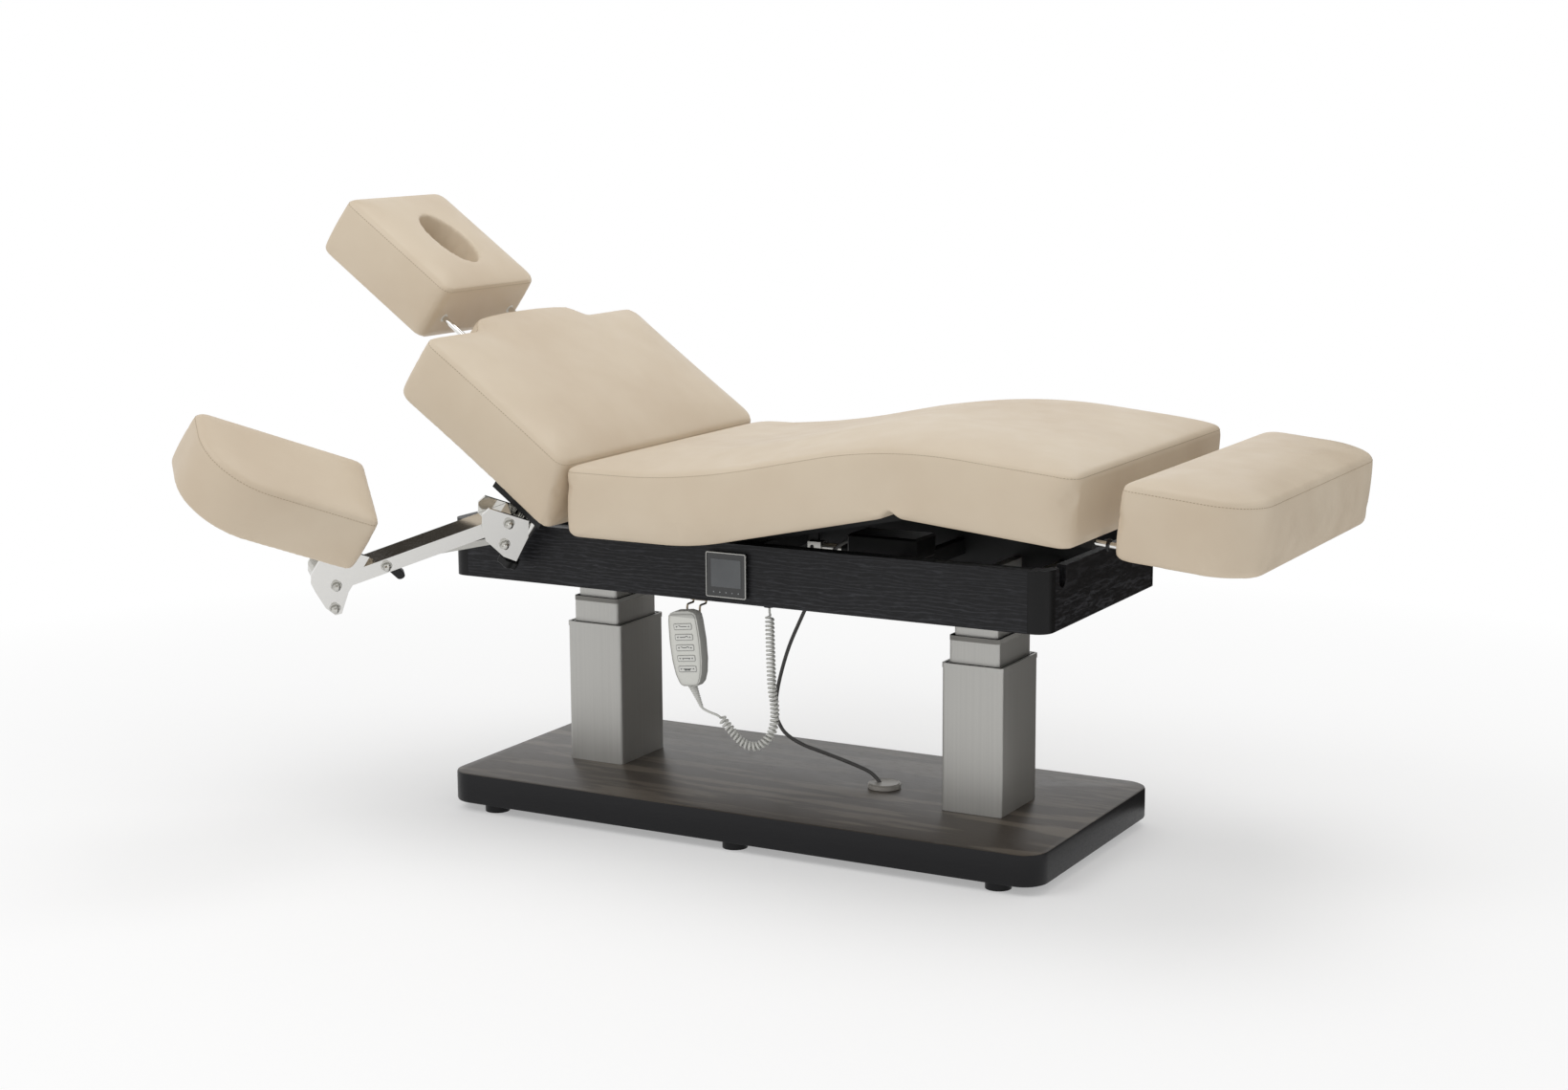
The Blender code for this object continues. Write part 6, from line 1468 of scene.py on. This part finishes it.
class Table:
    """Builds every visual piece of the table and says what carries each cover but the mattress."""

    def __init__(self, frame: dict) -> None:
        """Takes the loaded frame."""
        self.frame = frame
        self.places = Places(frame["joints"])
        self.shift = self.places.shift
        self.finishes = Finishes()

    def moved(self, points: Iterable[Point]) -> list[Vector]:
        """Points of the CAD source in the row frame."""
        return [Vector(p) + self.shift for p in points]

    def dress(self) -> None:
        """Gives every CAD node that shows its own finish and soft shading."""
        f, y = self.finishes, self.shift.y
        posts = (y - POST_Y, y + POST_Y)
        shared = {
            "silver": ("column",),
            "steel": ("steel_frame", "bars", "arm_mount"),
            "chrome": ("arm_bar", "bracket", "carrier", "rod"),
            "zinc": ("lock_strip", "actuator_rod"),
            "black": ("knob", "lever", "motor", "actuator", "control", "gland"),
            "board": ("board",),
            "bronze": ("hooks",),
            "handset": ("handset_body",),
            "key": ("handset_key",),
            "cord": ("strain_relief", "curly"),
            "cable": ("lift_cable",),
            "grommet": ("grommet",),
            "glass": ("touch_panel",),
            "leather": ("cushion", "pillow", "pad"),
        }
        own = {"base_board": f.base("grey_brown_oak")}
        own["near_apron"] = own["far_apron"] = f.apron("charcoal_oak_long", "X", None)
        own["head_apron"] = own["foot_apron"] = f.apron("charcoal_oak_short", "Y", posts)
        tree = soft_shade_tree(SOFT_ANGLE)
        for name, made in self.frame["nodes"].items():
            material = own.get(name)
            if material is None:
                keys = [(len(word), key) for key, words in shared.items() for word in words if word in name]
                material = getattr(f, max(keys)[1])
            for place in made.material_slots:
                place.material = material
            soften(made, tree)

    # Cords

    def build_cords(self) -> None:
        """The curly handset cord and the braided power cable."""
        axis = smooth_route(self.moved(CURLY_ROUTE), CURL_COUNT * CURL_POINTS + 1)
        total = len(axis)
        side = (axis[1] - axis[0]).normalized().orthogonal().normalized()
        wound = []
        for i, centre in enumerate(axis):
            ahead = (axis[min(i + 1, total - 1)] - axis[max(i - 1, 0)]).normalized()
            side = (side - ahead * side.dot(ahead)).normalized()
            other = ahead.cross(side)
            turn = 2 * math.pi * i / CURL_POINTS
            opening = min(1.0, i / CURL_POINTS, (total - 1 - i) / CURL_POINTS)
            reach = CURL_RADIUS * math.sin(opening * math.pi / 2)
            wound.append(centre + side * (reach * math.cos(turn)) + other * (reach * math.sin(turn)))
        top, tip = axis_of("handset_strain_relief")
        ahead = (tip - top).normalized()
        lead_in = [self.moved([GLAND_ENTRY])[0], wound[0] + Vector((0, 0, 0.008))]
        between = tip.lerp(wound[-1], 0.5) + ahead * 0.003
        lead_out = [tip - ahead * 0.0065, tip + ahead * 0.004, between]
        head = spaced(lead_in + wound[:1], LEAD_STEP)[:-1]
        tail = spaced(wound[-1:] + lead_out[::-1], LEAD_STEP)[1:]
        count = len(head) + len(wound)
        wound = eased(head + wound + tail, GLAND_HELD, len(head) + CURL_POINTS)
        wound = eased(wound, count - CURL_POINTS, len(wound) - RELIEF_HELD)
        shape = sweep(wound, STRAND_DIAMETER / 2, 10)
        curly = to_object("curly_handset_cord", shape, None, self.finishes.cord, angle=80)
        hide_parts("curly_cord")
        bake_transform(curly)
        line = smooth_route(self.moved(CABLE_ROUTE), CABLE_POINTS)
        shape = sweep(line, CABLE_DIAMETER / 2, 14, turns=BRAID_TURNS, pitch=BRAID_PITCH)
        cable = to_object("braided_power_cable", shape, None, self.finishes.cable, angle=80)
        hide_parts("lift_cable")
        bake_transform(cable)

    # Covers

    def build_covers(self) -> None:
        """The sewn covers of every section."""
        maker = CoverMaker(self.finishes)
        self.build_mattress(maker)
        back = Block(Outline.back(), HINGE_DROP, SIDE, CROWN, foot_lean=-math.tan(BACK_FOOT_LEAN))
        pillow = Block(Outline.pillow(), HINGE_DROP + SIDE - PILLOW_SIDE, PILLOW_SIDE, END_CROWN)
        bolster = Block(Outline.bolster(), HINGE_DROP, BOLSTER_SIDE, END_CROWN)
        pad = Block(Outline.pad(), PAD_LOW, PAD_SIDE, PAD_CROWN)
        places = self.places
        self.cover(maker, "back_cover", back, places.back, "backrest", "back_cushion", VOXEL, BULGE,
                   (BACK_HEAD_LIMIT, FREE))
        self.cover(maker, "face_pillow", pillow, places.back, "headrest", "headrest_pillow", FINE_VOXEL,
                   0.006, (-FREE, PILLOW_FOOT_LIMIT), self.cut_face_hole)
        self.cover(maker, "foot_bolster", bolster, places.leg, "bolster", "bolster_cushion", 0.006, 0.007,
                   (BOLSTER_HEAD_LIMIT, FREE))
        self.cover(maker, "arm_pad_cover", pad, places.carrier, "pad_carrier", "arm_pad", FINE_VOXEL, 0.005)
        bpy.data.objects.remove(maker.stitch)

    def cover(self, maker: CoverMaker, name: str, block: Block, place: Place, body: str, node: str,
              voxel: float, cap: float, limits: tuple[float, float] = (-FREE, FREE),
              change: Callable | None = None) -> None:
        """Makes one cover that rides on one body.

        Args:
            maker: the cover maker.
            name: the piece's name.
            block: its upholstered block.
            place: the block's place.
            body: the body that carries it.
            node: the CAD cushion that it stands for.
            voxel: the mesh's spacing.
            cap: the most that the filling moves a point.
            limits: the ends, along the block, that the filling may not bulge past.
            change: changes the block before it is remeshed.
        """
        made = to_object(name, block.shape(), place, self.finishes.leather)
        if change:
            change(made, place)
        maker.remesh(made, voxel)
        back = place.matrix.inverted()
        seam = [place.matrix @ p for p in block.seam(block.side)]
        lower = [p + (place.way(0, 0, 1) * -STITCH_DROP) for p in seam]
        stitches = maker.make(f"{name}_stitches", made, cap,
                              lambda co: maker.hold((back @ co).z - block.low, block.side),
                              seam, lower, place, limits)
        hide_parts(node)
        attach(made, body)
        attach(stitches, body)

    def cut_face_hole(self, made: bpy.types.Object, place: Place) -> None:
        """Cuts the face hole through the pillow; the filling then rounds its rim."""
        centre, half_x, half_y = -0.715, 0.079, 0.052
        outline = [(centre + half_x * math.cos(a), half_y * math.sin(a))
                   for a in (2 * math.pi * k / 48 for k in range(48))]
        cutter = to_object("face_hole_cutter", prism(outline, -0.05, 0.25), place)
        modifier = made.modifiers.new("hole", "BOOLEAN")
        modifier.operation, modifier.object, modifier.solver = "DIFFERENCE", cutter, "EXACT"
        settle(made)
        bpy.data.objects.remove(cutter)

    def build_mattress(self, maker: CoverMaker) -> None:
        """The seat, thigh and leg cover, sewn as one, bent at its two hinges and cut in two across the thigh.
        """
        path = FoldPath(self.places)
        block = Block(Outline.mattress(), 0.0, SIDE, CROWN)
        made = to_object("mattress", block.shape(), None, self.finishes.leather)
        maker.remesh(made, VOXEL)
        developed = [tuple(v.co) for v in made.data.vertices]
        for vertex, point in zip(made.data.vertices, developed):
            vertex.co = path.bend(point)
        heights = {}
        tree = KDTree(len(developed))
        for index, vertex in enumerate(made.data.vertices):
            tree.insert(vertex.co, index)
            heights[index] = developed[index][2]
        tree.balance()
        levels = SIDE, SIDE - STITCH_DROP
        seam, lower = ([path.bend(p) for p in block.seam(level, 900)] for level in levels)
        sewn = maker.make("mattress_stitches", made, BULGE,
                          lambda co: maker.hold(heights[tree.find(co)[1]], SIDE),
                          seam, lower, self.places.leg, (-FREE, LEG_LENGTH - 0.0002))
        middle = self.places.thigh.at(THIGH_LENGTH / 2, 0, 0)
        way = self.places.thigh.way(1, 0, 0)
        seat_ends = (self.places.seat.at(-0.11, 0, 0), self.places.thigh.at(0.14, 0, 0))
        knee_ends = (self.places.thigh.at(THIGH_LENGTH - 0.12, 0, 0), self.places.leg.at(0.12, 0, 0))
        for source, label, padded in ((made, "cover", True), (sewn, "stitches", False)):
            for side, (start, end), bodies, nodes in (
                (1, seat_ends, ("frame", "thigh"), ("seat_cushion",)),
                (-1, knee_ends, ("thigh", "leg"), ("thigh_cushion", "leg_cushion")),
            ):
                name = f"{'seat' if side > 0 else 'leg'}_{label}"
                part = self.half(source, name, middle, way * side, padded)
                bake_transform(part)
                if padded:
                    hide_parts(*nodes)
        for source in (made, sewn):
            bpy.data.objects.remove(source)

    @staticmethod
    def islands(shape: bmesh.types.BMesh) -> list[list[bmesh.types.BMVert]]:
        """The vertices of each loose part of a mesh."""
        seen, found = set(), []
        for vertex in shape.verts:
            if vertex in seen:
                continue
            stack, island = [vertex], []
            seen.add(vertex)
            while stack:
                here = stack.pop()
                island.append(here)
                fresh = [t for t in (edge.other_vert(here) for edge in here.link_edges) if t not in seen]
                seen.update(fresh)
                stack += fresh
            found.append(island)
        return found

    @staticmethod
    def half(source: bpy.types.Object, name: str, middle: Vector, away: Vector,
             closed: bool) -> bpy.types.Object:
        """The part of a mesh on one side of a plane, with its cut closed."""
        shape = bmesh.new()
        shape.from_mesh(source.data)
        geometry = shape.verts[:] + shape.edges[:] + shape.faces[:]
        if closed:
            cut = bmesh.ops.bisect_plane(shape, geom=geometry, plane_co=middle, plane_no=away,
                                         clear_outer=True)
            edges = [e for e in cut["geom_cut"] if isinstance(e, bmesh.types.BMEdge)]
            filled = bmesh.ops.edgenet_fill(shape, edges=edges)
            for face in filled["faces"]:
                face.smooth = False
            for edge in edges:
                edge.smooth = False
        else:
            far = []
            for island in Table.islands(shape):
                centre = sum((v.co for v in island), Vector()) / len(island)
                far += island if (centre - middle).dot(away) > 0 else []
            bmesh.ops.delete(shape, geom=far, context="VERTS")
        mesh = bpy.data.meshes.new(name)
        shape.to_mesh(mesh)
        shape.free()
        made = link(name, mesh)
        for material in source.data.materials:
            if material.name not in mesh.materials:
                mesh.materials.append(material)
        return made


def set_camera(shift: Vector) -> None:
    """The photograph's own viewpoint."""
    yaw, pitch, roll = CAMERA_YAW, CAMERA_PITCH, CAMERA_ROLL
    ahead = Vector((-math.sin(yaw) * math.cos(pitch), math.cos(yaw) * math.cos(pitch), -math.sin(pitch)))
    right = Vector((math.cos(yaw), math.sin(yaw), 0.0))
    up = right.cross(ahead)
    right, up = right * math.cos(roll) + up * math.sin(roll), up * math.cos(roll) - right * math.sin(roll)
    data = bpy.data.cameras.new("camera")
    data.sensor_width = SENSOR_WIDTH
    data.lens = FOCAL_PIXELS / PHOTO_WIDTH * SENSOR_WIDTH
    data.clip_end = 60.0
    made = bpy.data.objects.new("camera", data)
    bpy.context.scene.collection.objects.link(made)
    matrix = Matrix((right, up, -ahead)).transposed().to_4x4()
    matrix.translation = Vector(CAMERA_PLACE) + shift
    made.matrix_world = matrix
    bpy.context.scene.camera = made


def floor_finish() -> bpy.types.Material:
    """Matt white studio floor that runs into the white surroundings away from the table."""
    made = Shader("studio_floor", Hue.FLOOR, 0.9, Specular_IOR_Level=0.0)
    made.bump(made.noise(made.coords(), 6.0), 0.02, 0.002)
    place = made.node("ShaderNodeTexCoord").outputs["Object"]
    distance = made.node("ShaderNodeVectorMath", {0: place}, operation="LENGTH").outputs["Value"]
    glow = made.node("ShaderNodeEmission", {"Color": (1.0, 1.0, 1.0, 1.0), "Strength": 1.0}).outputs[0]
    mixed = made.node("ShaderNodeMixShader", {0: made.fit(distance, 0.35, 1.0, 1.0, 3.0)})
    made.tree.links.new(made.shader.outputs[0], mixed.inputs[1])
    made.tree.links.new(glow, mixed.inputs[2])
    made.tree.links.new(mixed.outputs[0], made.tree.nodes["Material Output"].inputs["Surface"])
    return made.material


def flag_finish() -> bpy.types.Material:
    """Dark cloth that only polished surfaces see."""
    made = Shader("studio_flag", Hue.FLAG, 1.0, Specular_IOR_Level=0.0)
    made.bump(made.noise(made.coords(), 12.0), 0.05, 0.002)
    return made.material


def set_studio(shift: Vector) -> None:
    """Pale floor, pale surroundings and soft lights."""
    scene = bpy.context.scene
    scene.view_settings.view_transform = "Standard"
    world = bpy.data.worlds.new("studio")
    world.use_nodes = True
    nodes, links = world.node_tree.nodes, world.node_tree.links
    back = nodes["Background"]
    back.inputs[0].default_value = (1.0, 1.0, 1.0, 1.0)
    path = nodes.new("ShaderNodeLightPath")
    either = path.outputs["Is Camera Ray"]
    for name in ("Is Glossy Ray", "Is Transmission Ray"):
        most = nodes.new("ShaderNodeMath")
        most.operation = "MAXIMUM"
        links.new(either, most.inputs[0])
        links.new(path.outputs[name], most.inputs[1])
        either = most.outputs[0]
    level = nodes.new("ShaderNodeMapRange")
    level.inputs["To Min"].default_value = WORLD_LIGHT
    links.new(either, level.inputs["Value"])
    links.new(level.outputs[0], back.inputs[1])
    scene.world = world
    sheets = []
    for name, corners, finish in (
        ("floor", ((-30, -30, 0), (30, -30, 0), (30, 30, 0), (-30, 30, 0)), floor_finish()),
        ("ceiling_flag", ((-4, -5, 5.6), (-4, 5, 5.6), (4, 5, 5.6), (4, -5, 5.6)), flag_finish()),
        ("back_flag", ((2.8, 1.1, 0), (0.4, 2.5, 0), (0.4, 2.5, 2.0), (2.8, 1.1, 2.0)), flag_finish()),
        ("low_flag", ((-0.6, 0.6, 0.002), (3.0, 0.6, 0.002), (3.0, 2.6, 0.002), (-0.6, 2.6, 0.002)),
         flag_finish()),
    ):
        mesh = bpy.data.meshes.new(name)
        mesh.from_pydata(corners, [], [(0, 1, 2, 3)])
        sheets.append(link(name, mesh, finish))
    for flag in sheets[1:]:
        flag.visible_camera = flag.visible_diffuse = flag.visible_shadow = False
    for name, place, aim, size, power in (
        ("key", (-1.6, -3.0, 4.0), (0.0, 0.0, 0.6), (2.6, 2.0), 46.0),
        ("top", (0.6, 0.5, 4.4), (0.1, 0.0, 0.6), (3.0, 2.4), 52.0),
    ):
        data = bpy.data.lights.new(name, "AREA")
        data.shape = "RECTANGLE"
        data.size, data.size_y = size
        data.energy = power
        made = bpy.data.objects.new(name, data)
        scene.collection.objects.link(made)
        made.location = Vector(place) + shift
        made.rotation_euler = (Vector(aim) - Vector(place)).to_track_quat("-Z", "Y").to_euler()


def main() -> None:
    """Builds the visual layer."""
    logging.basicConfig(level=logging.INFO, format="%(name)s: %(message)s")
    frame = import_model()
    table = Table(frame)
    set_camera(table.shift)
    table.build_cords()
    table.dress()
    Fittings(table.places, table.finishes).build()
    set_studio(table.shift)
    table.build_covers()


if __name__ == "__main__":
    main()
